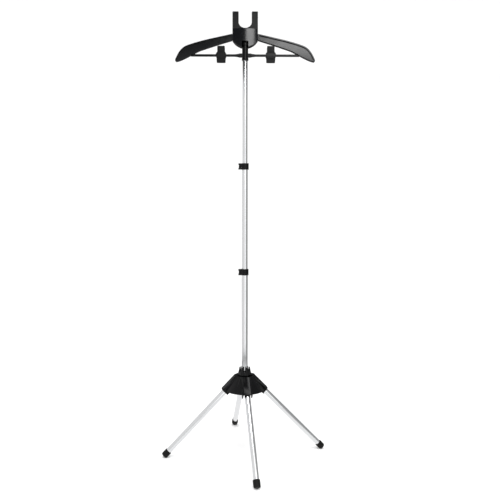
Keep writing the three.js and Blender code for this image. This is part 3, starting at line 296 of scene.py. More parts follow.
def prism(outline, z0, z1, place=None):
    """An outline in x and y, extruded along the z axis of a place."""
    place = place or Matrix()
    count = len(outline)
    points = [place @ Vector((x, y, z)) for z in (z0, z1) for x, y in outline]
    sides = [(i, (i + 1) % count, count + (i + 1) % count, count + i) for i in range(count)]
    caps = [tuple(reversed(range(count))), tuple(range(count, 2 * count))]
    return from_faces("prism", points, sides + caps)


def block(low, high, place=None):
    (x0, y0, z0), (x1, y1, z1) = low, high
    return prism([(x0, y0), (x1, y0), (x1, y1), (x0, y1)], z0, z1, place)


def axes(x_axis, y_axis, z_axis, origin=(0, 0, 0)):
    """A place whose own axes point along the three given directions."""
    turn = Matrix((x_axis, y_axis, z_axis)).transposed().to_4x4()
    return Matrix.Translation(origin) @ turn


def at(x, y, z):
    return Matrix.Translation((x, y, z))


FACING_BACK = axes(AXIS_X, AXIS_Z, -AXIS_Y)  # outline in x and z, depth along -Y
ALONG_X = axes(AXIS_Y, AXIS_Z, AXIS_X)  # outline in y and z, depth along X


def slab(outline, y0, y1):
    """An outline in x and z as a slab from y0 to y1."""
    return prism(outline, -y1, -y0, FACING_BACK)


def pin_hole(radius, x, z, y0, y1, sides=FINE):
    """A rod along Y through x and z."""
    return rod_solid(radius, -y1, -y0, sides, axes(AXIS_X, AXIS_Z, -AXIS_Y, (x, 0, z)))


# %% [markdown]
# An arc gives the round stretches of an outline, and a spline gives the sweeping ones. The
# rounded corner is an arc that touches both sides, found from the corner and its neighbours.


# %% Outlines
def in_mm(*points):
    return [(a * MM, b * MM) for a, b in points]


def mirrored(points, side=-1):
    return [(side * x, z) for x, z in points]


def arc(a, b, radius, start, end, steps=16):
    turn = [math.radians(start + (end - start) * i / steps) for i in range(steps + 1)]
    return [(a + radius * math.cos(t), b + radius * math.sin(t)) for t in turn]


def rounded(outline, radius, steps=6):
    """A closed outline with each corner replaced by an arc of that radius, where there is room."""
    result = []
    count = len(outline)
    for i, corner in enumerate(outline):
        c = Vector(corner)
        before, after = Vector(outline[i - 1]) - c, Vector(outline[(i + 1) % count]) - c
        half = before.angle(after) / 2
        reach = min(radius / math.tan(half), 0.49 * before.length, 0.49 * after.length)
        if half > math.radians(84):
            result.append(corner)
            continue
        p0, p1 = c + before.normalized() * reach, c + after.normalized() * reach
        for k in range(steps + 1):
            t = k / steps
            q = p0 * (1 - t) ** 2 + c * (2 * t * (1 - t)) + p1 * t**2
            result.append((q.x, q.y))
    return result


def spline(points, steps=10):
    """Catmull-Rom points through the given ones."""
    pts = [Vector(p) for p in points]
    pts = [2 * pts[0] - pts[1], *pts, 2 * pts[-1] - pts[-2]]
    result = []
    for a, b, c, d in zip(pts, pts[1:], pts[2:], pts[3:]):
        for k in range(steps):
            t = k / steps
            q = (2 * b + (c - a) * t + (2 * a - 5 * b + 4 * c - d) * t * t
                 + (3 * b - a - 3 * c + d) * t**3) / 2
            result.append((q.x, q.y))
    result.append(tuple(pts[-2]))
    return result


def moved_in(outline, distance):
    """A closed outline moved inwards; corners that would fold over are left out."""
    count = len(outline)
    pts = [Vector(p) for p in outline]
    area = sum(pts[i - 1].x * pts[i].y - pts[i].x * pts[i - 1].y for i in range(count))
    turn = 1 if area > 0 else -1
    kept = []
    for i in range(count):
        edges = [(pts[i] - pts[i - 1]).normalized(), (pts[(i + 1) % count] - pts[i]).normalized()]
        normals = [Vector((-turn * e.y, turn * e.x)) for e in edges]
        q = pts[i] + (normals[0] + normals[1]) * (distance / (1 + normals[0].dot(normals[1])))
        if all(to_segment(q, pts[k - 1], pts[k]) > 0.985 * distance for k in range(count)):
            if not kept or (q - kept[-1]).length > distance / 12:
                kept.append(q)
    return [(q.x, q.y) for q in kept]


def to_segment(p, a, b):
    d = b - a
    t = min(1, max(0, (p - a).dot(d) / d.dot(d)))
    return (p - a - d * t).length


def strip(line, thickness):
    """A strip of constant thickness along a line of points."""
    left, right = [], []
    for i, p in enumerate(line):
        d = Vector(line[min(i + 1, len(line) - 1)]) - Vector(line[max(i - 1, 0)])
        n = Vector((-d.y, d.x)).normalized() * thickness / 2
        left.append((p[0] + n.x, p[1] + n.y))
        right.append((p[0] - n.x, p[1] - n.y))
    return left + right[::-1]


# %% [markdown]
# Booleans run as modifiers with the exact manifold solver. `baked` turns the evaluated result
# into a plain mesh, so that no modifier is left behind.


# %% Joining, cutting and rounding
def baked(thing):
    """Replaces an object's mesh with its evaluated one and clears its modifiers."""
    view = bpy.context.evaluated_depsgraph_get()
    mesh = bpy.data.meshes.new_from_object(thing.evaluated_get(view))
    thing.modifiers.clear()
    thing.data = mesh
    return thing


def combine(operation, base, tools):
    for tool in tools:
        modifier = base.modifiers.new("cut", "BOOLEAN")
        modifier.operation = operation
        modifier.solver = "MANIFOLD"
        modifier.object = tool
    baked(base)
    for tool in tools:
        bpy.data.objects.remove(tool)
    return base


def joined(base, *others):
    return combine("UNION", base, others)


def cut(base, *tools):
    return combine("DIFFERENCE", base, tools)


def common(base, *others):
    return combine("INTERSECT", base, others)


def tidy_faces(thing, angle=0.6):
    """Merges the flat triangles that a boolean leaves, so that a bevel sees clean edges."""
    bm = bmesh.new()
    bm.from_mesh(thing.data)
    bmesh.ops.remove_doubles(bm, verts=bm.verts, dist=MERGE_CUT)
    bmesh.ops.dissolve_limit(bm, angle_limit=math.radians(angle), verts=bm.verts, edges=bm.edges)
    bm.to_mesh(thing.data)
    bm.free()


def rounded_edges(thing, width, segments=3, angle=28):
    tidy_faces(thing)
    bevel = thing.modifiers.new("bevel", "BEVEL")
    bevel.width = width
    bevel.segments = segments
    bevel.limit_method = "ANGLE"
    bevel.angle_limit = math.radians(angle)
    bevel.use_clamp_overlap = True
    weighted = thing.modifiers.new("weighted", "WEIGHTED_NORMAL")
    weighted.keep_sharp = True
    weighted.weight = SHARP_WEIGHT
    return thing


# %% [markdown]
# Every finished piece goes through one function. It names the piece, gives it its finish, joins
# it to the body that carries it, and hides the plain CAD node that it stands for.


# %% Finishing a piece
made = []


def finished(thing, node, edge=0.0, segments=3, own=None, angle=28):
    """Makes thing the visible piece for a CAD node; own is the frame of its stored coordinates."""
    for polygon in thing.data.polygons:
        polygon.use_smooth = True
    if edge:
        rounded_edges(thing, edge, segments, angle)
    baked(thing)
    thing.data.set_sharp_from_angle(angle=SHARP_ANGLE)
    if own is not None:
        inverse = own.inverted()
        store = thing.data.attributes.new("own", "FLOAT_VECTOR", "POINT")
        for vertex, item in zip(thing.data.vertices, store.data):
            item.vector = inverse @ vertex.co
    thing.name = f"{node}_fine"
    thing.data.name = thing.name
    thing.data.materials.clear()
    thing.data.materials.append(FINISHES[slot_of_node[node]])
    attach(thing, body_of_node[node])
    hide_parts(node)
    made.append(node)
    print(f"{node}: {len(thing.data.polygons)} faces")
    return thing


# %% [markdown]
# ## Tubes
#
# A tube is a rounded rectangle, the section of its wall, swept round a circle. Geometry Nodes
# build that rule once, and each of the seven tubes only sets its radius, wall and length.


# %% A node tree written in the script
class Tree:
    """A geometry node tree with named inputs, ending in Realize Instances and Set Material."""

    def __init__(self, name, floats=(), ints=(), geometry=()):
        self.tree = bpy.data.node_groups.new(name, "GeometryNodeTree")
        interface = self.tree.interface
        interface.new_socket("Geometry", in_out="OUTPUT", socket_type="NodeSocketGeometry")
        self.identifiers = {}
        for kind, labels in (("Geometry", geometry), ("Float", floats), ("Int", ints),
                             ("Material", ("Material",))):
            for label in labels:
                socket = interface.new_socket(label, in_out="INPUT", socket_type=f"NodeSocket{kind}")
                self.identifiers[label] = socket.identifier
        self.input = self.tree.nodes.new("NodeGroupInput").outputs

    def add(self, kind, settings=None, inputs=None):
        return add_node(self.tree, kind, settings, inputs).outputs[0]

    def circle(self, sides, radius):
        return self.add("GeometryNodeCurvePrimitiveCircle", {"mode": "RADIUS"},
                        {"Resolution": sides, "Radius": radius})

    def swept(self, path, section, **more):
        return self.add("GeometryNodeCurveToMesh",
                        inputs={"Curve": path, "Profile Curve": section, **more})

    def vector(self, **parts):
        return self.add("ShaderNodeCombineXYZ", inputs=parts)

    def math(self, operation, first, second):
        return self.add("ShaderNodeMath", {"operation": operation}, {0: first, 1: second})

    def end(self, geometry):
        real = self.add("GeometryNodeRealizeInstances", inputs={"Geometry": geometry})
        inputs = {"Geometry": real, "Material": self.input["Material"]}
        last = self.add("GeometryNodeSetMaterial", inputs=inputs)
        result = self.tree.nodes.new("NodeGroupOutput")
        self.tree.links.new(last, result.inputs[0])
        return self

    def make(self, name, mesh=None, **values):
        """Runs the tree on a new object and keeps the result as a plain mesh."""
        thing = new_object(name, mesh or bpy.data.meshes.new(name))
        modifier = thing.modifiers.new(name, "NODES")
        modifier.node_group = self.tree
        for label, value in values.items():
            modifier[self.identifiers[label]] = value
        return baked(thing)


def placed(thing, place):
    thing.data.transform(place)
    return thing


# %% The tube tree
def tube_tree():
    tree = Tree("tube wall", ("Radius", "Wall", "Length", "Edge"), ("Facets",))
    middle = tree.math("SUBTRACT", tree.input["Radius"],
                       tree.math("MULTIPLY", tree.input["Wall"], 0.5))
    path = tree.circle(tree.input["Facets"], middle)
    section = tree.add("GeometryNodeCurvePrimitiveQuadrilateral", {"mode": "RECTANGLE"},
                       {"Width": tree.input["Wall"], "Height": tree.input["Length"]})
    eased = tree.add("GeometryNodeFilletCurve", {"mode": "POLY"},
                     {"Curve": section, "Count": 3, "Radius": tree.input["Edge"]})
    return tree.end(tree.swept(path, eased))


TUBES = tube_tree()


def wall_tube(node, radius, wall, length, place):
    tube = TUBES.make(node, Radius=radius, Wall=wall, Length=length, Edge=0.3 * wall,
                      Facets=ROUND, Material=FINISHES["satin_aluminium"])
    centre = place @ at(0, 0, length / 2)
    finished(placed(aligned(tube), centre), node, own=place)


for node in ("mast_lower_tube", "mast_middle_tube", "mast_upper_tube"):
    low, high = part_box(node)
    wall_tube(node, high.x, TUBE_WALL, high.z - low.z, at(0, 0, low.z))

# %% [markdown]
# ## Legs
#
# A leg's place has its origin at the hinge pin and its z axis down the leg. The pin comes from
# the joint, and the slope and the circle of the feet give its direction and its length.

# %% Leg tubes
LEGS = ("right", "rear", "left", "front")
LEG_SLOPE = math.radians(46)
FOOT_CIRCLE_R = 265.4 * MM
FOOT_R = 11.5 * MM
FOOT_SLEEVE = 16 * MM
FOOT_END = 7 * MM
FOOT_EDGE_R = 4 * MM
LIP = in_mm((0.3, 2.6), (0.1, 1.2), (0.5, 0.3), (1.0, 0))  # in from the widest, up from the top
GRIP_R, GRIP_START, GRIP_PITCH, GRIPS = 0.55 * MM, 5 * MM, 3.6 * MM, 3
LEG_TUBE_R = 9.5 * MM
LEG_TUBE_STOP = 2 * MM
KNUCKLE_LENGTH = 11.7 * MM


def leg_place(name):
    joint = joint_named[f"{name}_leg_fold"]
    pivot = Vector(joint["pos_m"])
    reach = Vector((pivot.x, pivot.y, 0))
    along = reach.normalized() * math.cos(LEG_SLOPE) - AXIS_Z * math.sin(LEG_SLOPE)
    side = Vector(joint["axis"]).normalized()
    return axes(side, along.cross(side), along, pivot), (FOOT_CIRCLE_R - reach.length) / math.cos(LEG_SLOPE)


for name in LEGS:
    place, length = leg_place(name)
    start, end = KNUCKLE_LENGTH + GAP, length - LEG_TUBE_STOP
    wall_tube(f"{name}_leg_tube", LEG_TUBE_R, LEG_WALL, end - start,
              place @ at(0, 0, start))
print("leg length in mm:", round(length / MM, 1))

# %% [markdown]
# A foot cap is a turned rubber cap with a rounded end, a soft lip and three grip rings. The rings
# repeat, so a small node tree makes them, and a cut at the floor gives each cap its flat sole.


# %% Foot caps
def ring_tree():
    tree = Tree("grip rings", ("Radius", "Thickness", "Start", "Pitch"), ("Count",))
    ring = tree.swept(tree.circle(64, tree.input["Radius"]), tree.circle(10, tree.input["Thickness"]))
    index = tree.add("GeometryNodeInputIndex")
    height = tree.math("ADD", tree.input["Start"], tree.math("MULTIPLY", index, tree.input["Pitch"]))
    inputs = {"Count": tree.input["Count"], "Position": tree.vector(Z=height)}
    points = tree.add("GeometryNodePoints", inputs=inputs)
    rings = tree.add("GeometryNodeInstanceOnPoints", inputs={"Points": points, "Instance": ring})
    return tree.end(rings)


RINGS = ring_tree()


def foot_cap(name):
    place, length = leg_place(name)
    top, bore = length - FOOT_SLEEVE, LEG_TUBE_R + GAP
    bottom = length - LEG_TUBE_STOP + GAP
    lip = [(FOOT_R - inset, top + rise) for inset, rise in LIP]
    end, body_r = length + FOOT_END, lip[0][0]
    edge = arc(body_r - FOOT_EDGE_R, end - FOOT_EDGE_R, FOOT_EDGE_R, 90, 0, 14)
    profile = [(0, bottom), (0, end), *edge, *lip, (bore, top), (bore, bottom)]
    cap = turned(profile[::-1], 64, place)
    rings = RINGS.make("rings", Radius=FOOT_R - GRIP_R, Thickness=GRIP_R, Count=GRIPS,
                       Start=top + GRIP_START, Pitch=GRIP_PITCH, Material=FINISHES["black_rubber"])
    floor = block((-1, -1, -1), (1, 1, 0))
    cap = cut(joined(cap, placed(aligned(rings), place)), floor)
    finished(cap, f"{name}_foot_cap")


for name in LEGS:
    foot_cap(name)

# %% [markdown]
# A knuckle is the moulded end piece that hinges in the hub. It is an eye round the pin, a cheek
# and a collar that meets the tube, with a spigot hidden inside the tube.

# %% Knuckles and leg pins
KNUCKLE_R = 8 * MM
KNUCKLE_HALF = 6 * MM
LEG_PIN_R, RIVET_R, RIVET_HEAD = 2.5 * MM, 4.2 * MM, 1.4 * MM
RIB_HALF = 16.5 * MM
SPIGOT = 18 * MM


def across(place):
    """A place turned so that its z axis lies along the old x axis."""
    return place @ axes(AXIS_Y, AXIS_Z, AXIS_X)


def knuckle(name):
    place, _ = leg_place(name)
    side = across(place)
    eye = rod_solid(KNUCKLE_R, -KNUCKLE_HALF, KNUCKLE_HALF, 64, side)
    cheek = block((-KNUCKLE_HALF, -KNUCKLE_R, 0), (KNUCKLE_HALF, KNUCKLE_R, KNUCKLE_LENGTH - MM), place)
    collar = rod_solid(LEG_TUBE_R, KNUCKLE_LENGTH - 3 * MM, KNUCKLE_LENGTH, 64, place)
    spigot = rod_solid(LEG_TUBE_R - LEG_WALL - GAP, 0, KNUCKLE_LENGTH + SPIGOT, 64, place)
    hole = rod_solid(LEG_PIN_R + GAP, -2 * KNUCKLE_HALF, 2 * KNUCKLE_HALF, FINE, side)
    finished(cut(joined(eye, cheek, collar, spigot), hole), f"{name}_leg_knuckle", 0.5 * MM, 2)


def leg_pin(name):
    place, _ = leg_place(name)
    reach, head, head_r = RIB_HALF + GAP, RIVET_HEAD, RIVET_R
    side = [(0, -reach - head), *arc(head_r - MM, -reach - head + MM, MM, -90, 0, 5),
            (head_r, -reach), (LEG_PIN_R, -reach)]
    profile = side + [(r, -z) for r, z in reversed(side)]
    finished(turned(profile, FINE, across(place)), f"{name}_leg_pin")


for name in LEGS:
    knuckle(name)
    leg_pin(name)

# %% [markdown]
# ## The hub
#
# The hub is one moulding: a core on the mast, a flat top, a conical skirt and four ribs that
# cover the legs like inverted channels. A spread leg rests against the roof of its rib. It is
# cut in the same order as its mould: block, ribs, then the spaces in which the legs fold.

# %% Hub shell
HUB_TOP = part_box("hub_shell")[1].z
CORE_R, CORE_Z0 = 14 * MM, HUB_TOP - 48.5 * MM
PLATE_R, PLATE = 31 * MM, 5 * MM
SKIRT_R, SKIRT_Z, SKIRT_WALL = 67 * MM, HUB_TOP - 49.5 * MM, 3 * MM
RIB_WALL, RIB_ROOF, RIB_CORNER = 3 * MM, 3.5 * MM, 6 * MM
RIB_LENGTH, RIB_DROP, RIB_TAB, TAB_INSET = 54 * MM, 11 * MM, 3.5 * MM, 3 * MM
RIB_TOP = LEG_TUBE_R + GAP + RIB_ROOF
LOWER_TUBE_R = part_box("mast_lower_tube")[1].x


def radial_place(name):
    """A place at the mast with its x axis pointing out over a leg."""
    pivot = Vector(joint_named[f"{name}_leg_fold"]["pos_m"])
    return Matrix.Rotation(math.atan2(pivot.y, pivot.x), 4, "Z")


def rib(name):
    place, _ = leg_place(name)
    half, top = RIB_HALF, RIB_TOP
    corner = [(half, top - RIB_CORNER), (half - RIB_CORNER, top)]
    section = [(-half, -RIB_DROP), (half, -RIB_DROP), *corner, *mirrored(corner[::-1])]
    body = prism(section, -PLATE_R, RIB_LENGTH, place)
    limit = block((0, -PLATE_R, 0), (2 * SKIRT_R, PLATE_R, HUB_TOP), radial_place(name))
    tab = half - TAB_INSET
    tabs = [block((low, -RIB_DROP, RIB_LENGTH - RIB_WALL),
                  (low + RIB_WALL, RIB_TAB - RIB_DROP, RIB_LENGTH + RIB_TAB), place)
            for low in (-tab, tab - RIB_WALL)]
    return joined(common(body, limit), *tabs)


def leg_space(name):
    place, _ = leg_place(name)
    turn = radial_place(name)
    flat = turn.inverted() @ place

    def seen(s, v):
        point = flat @ Vector((0, v, s))
        return point.x, point.z

    roof = LEG_TUBE_R + GAP
    clear = CORE_R + 1.5 * MM
    inner, outer = seen(-KNUCKLE_R - MM, roof), seen(RIB_LENGTH + 16 * MM, roof)
    low = CORE_Z0 - SKIRT_R / 2
    side = [(clear, low), (outer[0], low), outer, inner, (clear, inner[1] - PLATE)]
    half = RIB_HALF - RIB_WALL
    return prism(side, -half, half, turn @ FACING_BACK)


def hub_shell():
    core = rod_solid(CORE_R, CORE_Z0, HUB_TOP)
    plate = rod_solid(PLATE_R, HUB_TOP - PLATE, HUB_TOP, 160)
    top = HUB_TOP - 2 * MM
    skirt = turned([(SKIRT_R - SKIRT_WALL, SKIRT_Z), (SKIRT_R, SKIRT_Z), (PLATE_R, top),
                    (PLATE_R - SKIRT_WALL, top)], 160)
    hub = joined(core, plate, skirt, *[rib(name) for name in LEGS])
    holes = [rod_solid(LEG_PIN_R + GAP, -20 * MM, 20 * MM, FINE, across(leg_place(name)[0]))
             for name in LEGS]
    head_end = RIB_HALF + 2 * GAP + RIVET_HEAD
    for name in LEGS:
        side = across(leg_place(name)[0])
        holes.append(rod_solid(RIVET_R + GAP, -head_end, -RIB_HALF, FINE, side))
        holes.append(rod_solid(RIVET_R + GAP, RIB_HALF, head_end, FINE, side))
    bore = rod_solid(LOWER_TUBE_R + GAP, CORE_Z0 - MM, HUB_TOP + MM)
    hub = cut(hub, *[leg_space(name) for name in LEGS], *holes, bore)
    finished(hub, "hub_shell", 0.8 * MM, 3, angle=24)


hub_shell()

# %% [markdown]
# ## The lock nut
#
# The crown-shaped nut has six leaning finger lobes that stand up past its ring. The lobes repeat
# round the mast, so a node tree places them, joins them with the ring and bores the hole.

# %% Lock nut and collet
NUT_LOBES = 6
NUT_BASE_R, NUT_BORE_R = 20.5 * MM, 13.6 * MM
LOBE_BASE, LOBE_TOP, LOBE_LEAN = 6.6 * MM, 4.4 * MM, 3.4 * MM
NUT_RING, NUT_SLANT, NUT_EASE, LOBE_PROUD = 12 * MM, 2.4 * MM, 1.5 * MM, 0.6 * MM
COLLET_FLANGE_R, COLLET_FLANGE, COLLET_SLOT = 15.5 * MM, 2 * MM, 1.6 * MM


def lobe_tree():
    tree = Tree("nut lobes", ("Height", "Base", "Top", "Lean", "Reach"), ("Count",))
    lobe = tree.add("GeometryNodeMeshCone", inputs={
        "Vertices": 40, "Radius Top": tree.input["Top"], "Radius Bottom": tree.input["Base"],
        "Depth": tree.input["Height"]})
    drop = tree.vector(Z=tree.math("MULTIPLY", tree.input["Height"], -0.5))
    lobe = tree.add("GeometryNodeTransform", inputs={"Geometry": lobe, "Translation": drop})
    leaning = tree.add("GeometryNodeTransform", inputs={
        "Geometry": lobe, "Translation": tree.vector(X=tree.input["Reach"]),
        "Rotation": tree.vector(Y=tree.input["Lean"])})
    index = tree.add("GeometryNodeInputIndex")
    step = tree.math("DIVIDE", 2 * math.pi, tree.input["Count"])
    angle = tree.math("MULTIPLY", tree.math("ADD", index, 0.5), step)
    turn = tree.vector(Z=tree.math("SUBTRACT", angle, math.pi / 2))
    points = tree.add("GeometryNodePoints", inputs={"Count": tree.input["Count"]})
    lobes = tree.add("GeometryNodeInstanceOnPoints", inputs={
        "Points": points, "Instance": leaning, "Rotation": turn})
    return tree.end(lobes)


def lock_nut():
    low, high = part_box("lock_nut")
    height = high.z - low.z
    ring_top = low.z + NUT_RING
    ring = turned([(NUT_BORE_R - MM, low.z), (NUT_BASE_R - NUT_EASE, low.z),
                   (NUT_BASE_R, low.z + NUT_EASE), (NUT_BASE_R - NUT_SLANT, ring_top),
                   (NUT_BORE_R - MM, ring_top)])
    lobes = lobe_tree().make("lobes", Count=NUT_LOBES, Height=height, Base=LOBE_BASE, Top=LOBE_TOP,
                             Lean=-math.atan2(LOBE_LEAN, height),
                             Reach=NUT_BASE_R - LOBE_BASE + LOBE_PROUD,
                             Material=FINISHES["satin_black_plastic"])
    placed(aligned(lobes), at(0, 0, low.z + height / 2))
    trim = tube_solid(2 * NUT_BASE_R, NUT_BORE_R, low.z, high.z)
    seat = rod_solid(COLLET_FLANGE_R + GAP, low.z - MM, low.z + COLLET_FLANGE + GAP)
    finished(cut(common(joined(ring, lobes), trim), seat), "lock_nut", 0.7 * MM, 3)


def hub_collet():
    low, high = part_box("hub_collet")
    sleeve_r = NUT_BORE_R - GAP
    bore = LOWER_TUBE_R + GAP
    step = low.z + COLLET_FLANGE
    sleeve = turned([(bore, low.z), (COLLET_FLANGE_R, low.z), (COLLET_FLANGE_R, step),
                     (sleeve_r, step), (sleeve_r, high.z), (bore, high.z)])
    slot = COLLET_SLOT / 2
    slots = [block((-NUT_BASE_R, -slot, step + MM), (NUT_BASE_R, slot, high.z + MM),
                   radial_place("right") @ Matrix.Rotation(math.radians(45 + 90 * k), 4, "Z"))
             for k in range(2)]
    finished(cut(sleeve, *slots), "hub_collet", 0.3 * MM, 2)


lock_nut()
hub_collet()

# %% [markdown]
# ## Clamp collars
#
# Each collar is fixed on the end of one tube and grips the next. A lever lies in a seat round
# its front and swings out on a pin between two ears on the left.

# %% Collars, levers and pins
COLLAR_EAR, COLLAR_R = 5 * MM, 12.3 * MM
LEVER_R, LEVER_THICK = 14 * MM, 2.5 * MM
EAR_R, BARREL_R = 3.8 * MM, 2.4 * MM
SWEEP = (188, 300)  # the bearings that a lever covers
SEAT_BEFORE, SEAT_AFTER = 30, 12
SLIT, SLIT_BEARING = 1.2 * MM, math.radians(150)
LIFT, LIFT_BEFORE, LIFT_AFTER = 1.6 * MM, 12, 4  # the finger lip at the lever's free end
ROOT_SWEEP = (208, 190)


def sector(inner, outer, start, end, steps=40):
    return [*arc(0, 0, outer, start, end, steps), *arc(0, 0, inner, end, start, steps)]


def collar(name, fixed_r, sliding_r):
    low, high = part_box(f"{name}_collar")
    pin_x, pin_y, middle = joint_named[f"{name}_lever_swing"]["pos_m"]
    half = (high.z - low.z) / 2
    here = at(0, 0, middle)
    at_pin = at(pin_x, pin_y, middle)
    wide, narrow = fixed_r + GAP, sliding_r + GAP
    ring = rod_solid(COLLAR_R, -half, half, ROUND, here)
    ears = []
    for z0 in (-half, half - COLLAR_EAR):
        ears.append(rod_solid(EAR_R, z0, z0 + COLLAR_EAR, FINE, at_pin))
        ears.append(block((pin_x, pin_y - EAR_R, z0), (0, pin_y + EAR_R, z0 + COLLAR_EAR), here))
    lever_half = half - COLLAR_EAR - GAP
    room = sector(LEVER_R - LEVER_THICK - GAP, 1.2 * COLLAR_R,
                  SWEEP[0] - SEAT_BEFORE, SWEEP[1] + SEAT_AFTER)
    seat = prism(room, -lever_half - GAP, lever_half + GAP, here)
    slit = block((0, -SLIT / 2, MM), (1.5 * COLLAR_R, SLIT / 2, half + MM),
                 here @ Matrix.Rotation(SLIT_BEARING, 4, "Z"))
    tools = [rod_solid(wide, -half - MM, GAP, ROUND, here),
             rod_solid(narrow, 0, half + MM, ROUND, here), seat, slit,
             rod_solid(PIN_R + GAP, -half - MM, half + MM, FINE, at_pin)]
    finished(cut(joined(ring, *ears), *tools), f"{name}_collar", 0.6 * MM, 3)
    lever(f"{name}_collar_lever", lever_half, here, at_pin)


def lever(node, half, here, at_pin):
    pin = at_pin.translation
    band = prism(sector(LEVER_R - LEVER_THICK, LEVER_R, *SWEEP), -half, half, here)
    lip = sector(LEVER_R - LEVER_THICK / 2, LEVER_R + LIFT,
                 SWEEP[1] - LIFT_BEFORE, SWEEP[1] + LIFT_AFTER, 6)
    lift = prism(lip, -half, half, here)
    barrel = rod_solid(BARREL_R, -half, half, FINE, at_pin)
    root = [(pin.x, pin.y + MM), (pin.x, pin.y - BARREL_R), *arc(0, 0, LEVER_R, *ROOT_SWEEP, 6),
            arc(0, 0, LEVER_R - LEVER_THICK, *SWEEP, 1)[0]]
    bridge = prism(root, -half, half, here)
    hole = rod_solid(PIN_R + GAP, -2 * half, 2 * half, FINE, at_pin)
    finished(cut(joined(band, lift, barrel, bridge), hole), node, 0.7 * MM, 3)


def plain_pin(node, radius, along):
    """A pin with eased ends, in the box of its CAD node."""
    low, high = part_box(node)
    centre = (low + high) / 2
    half = max(high - low) / 2
    ease = 0.35 * MM
    profile = [(0, -half), (radius - ease, -half), (radius, ease - half), (radius, half - ease),
               (radius - ease, half), (0, half)]
    turn = {"x": across(Matrix.Translation(centre)), "z": Matrix.Translation(centre),
            "y": Matrix.Translation(centre) @ FACING_BACK}[along]
    finished(turned(profile, FINE, turn), node)


MIDDLE_TUBE_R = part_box("mast_middle_tube")[1].x
UPPER_TUBE_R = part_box("mast_upper_tube")[1].x
collar("lower", LOWER_TUBE_R, MIDDLE_TUBE_R)
collar("upper", MIDDLE_TUBE_R, UPPER_TUBE_R)
for name in ("lower", "upper"):
    plain_pin(f"{name}_collar_pin", PIN_R, "z")

# %% [markdown]
# ## Plugs and the neck
#
# Plastic plugs close the tube ends and keep the telescoping tubes apart. The neck is a sleeve
# that turns on the mast, held up by a stop ring and held down by the flange of the top plug.

# %% Plugs
PLUG_FLANGE, PLUG_EASE = 3.5 * MM, 0.5 * MM


def plug(node, tube_radius, top=False):
    low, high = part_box(node)
    rim, spigot = high.x, tube_radius - TUBE_WALL - GAP
    ease, height = PLUG_EASE, high.z - low.z
    profile = [(0, 0), (rim - ease, 0), (rim, ease), (rim, PLUG_FLANGE - ease),
               (rim - ease, PLUG_FLANGE), (spigot, PLUG_FLANGE), (spigot, height - ease),
               (spigot - ease, height), (0, height)]
    place = at(0, 0, low.z)
    if top:
        place = at(0, 0, high.z) @ Matrix.Rotation(math.pi, 4, "X")
    finished(turned(profile, ROUND, place), node)


plug("mast_bottom_plug", LOWER_TUBE_R)
plug("middle_tube_glide", MIDDLE_TUBE_R)
plug("upper_tube_glide", UPPER_TUBE_R)
plug("mast_top_plug", UPPER_TUBE_R, top=True)

# %% Neck ring and sleeve
NECK_R, NECK_FLANGE_R, NECK_FLANGE = 9.75 * MM, 14 * MM, 4 * MM
NECK_BORE_R = UPPER_TUBE_R + GAP
WING_PIVOT = Vector(joint_named["right_wing_fold"]["pos_m"])
BAR_Z = WING_PIVOT.z
EYE_R, EYE_HALF, EAR_THICK = 5.5 * MM, 3.3 * MM, 2.2 * MM


def neck_ring():
    low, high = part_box("neck_ring")
    finished(tube_solid(high.x, NECK_BORE_R, low.z, high.z), "neck_ring", 0.6 * MM)


def neck_sleeve():
    low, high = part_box("neck_sleeve")
    under = high.z - NECK_FLANGE
    sleeve = turned([(NECK_BORE_R, low.z), (NECK_R, low.z), (NECK_R, under), (NECK_FLANGE_R, under),
                     (NECK_FLANGE_R, high.z), (NECK_BORE_R, high.z)])
    inner, ears = EYE_HALF + GAP, []
    for side in (-1, 1):
        start = -90 if side > 0 else 90
        end = arc(side * WING_PIVOT.x, BAR_Z, EYE_R, start, start + 180, 24)
        ear = [*end, (0, BAR_Z + side * EYE_R), (0, BAR_Z - side * EYE_R)]
        ears += [slab(ear, inner, inner + EAR_THICK), slab(ear, -inner - EAR_THICK, -inner)]
    holes = [pin_hole(PIN_R + GAP, side * WING_PIVOT.x, BAR_Z, -NECK_R, NECK_R) for side in (-1, 1)]
    bore = rod_solid(NECK_BORE_R, low.z - MM, high.z + MM)
    finished(cut(joined(sleeve, *ears), bore, *holes), "neck_sleeve", 0.5 * MM)


neck_ring()
neck_sleeve()

# %% [markdown]
# ## The head
#
# The head is two moulded covers screwed together. Each face bulges between its sides, and the
# underside is one long arc. The outside is rounded while it is still a plain block, because a
# bevel works best on clean edges, and the inside and the windows for the arms are cut after it.

# %% Outlines of the head
HEAD_HALF, HEAD_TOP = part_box("back_cover")[1].x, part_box("back_cover")[1].z
HEAD_BOTTOM, HEAD_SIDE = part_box("back_cover")[0].z, 1361 * MM
HEAD_FRONT, HEAD_BACK = -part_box("front_cover")[0].y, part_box("back_cover")[1].y
FRONT_BULGE, BACK_BULGE, HEAD_WALL = 6.5 * MM, 4 * MM, 2.2 * MM
NECK_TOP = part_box("neck_sleeve")[1].z
NOTCH_HALF, NOTCH_TOP = 10.5 * MM, 1357 * MM
SCREW_X, SCREW_Z = 19 * MM, 1369 * MM
SCREW_HEAD_R, SCREW_HEAD, SCREW_REACH, BOSS_R = 2.6 * MM, 2 * MM, 11.1 * MM, 3.8 * MM
SEAM_DROP, SEAM_INSET, NOTCH_CORNER, FIN = 2.2 * MM, 1.3 * MM, 2 * MM, 2 * MM


def sag_arc(half, side, low):
    """Radius and centre height of the arc through (-half, side), (0, low) and (half, side)."""
    sag = side - low
    radius = (half * half + sag * sag) / (2 * sag)
    return radius, low + radius


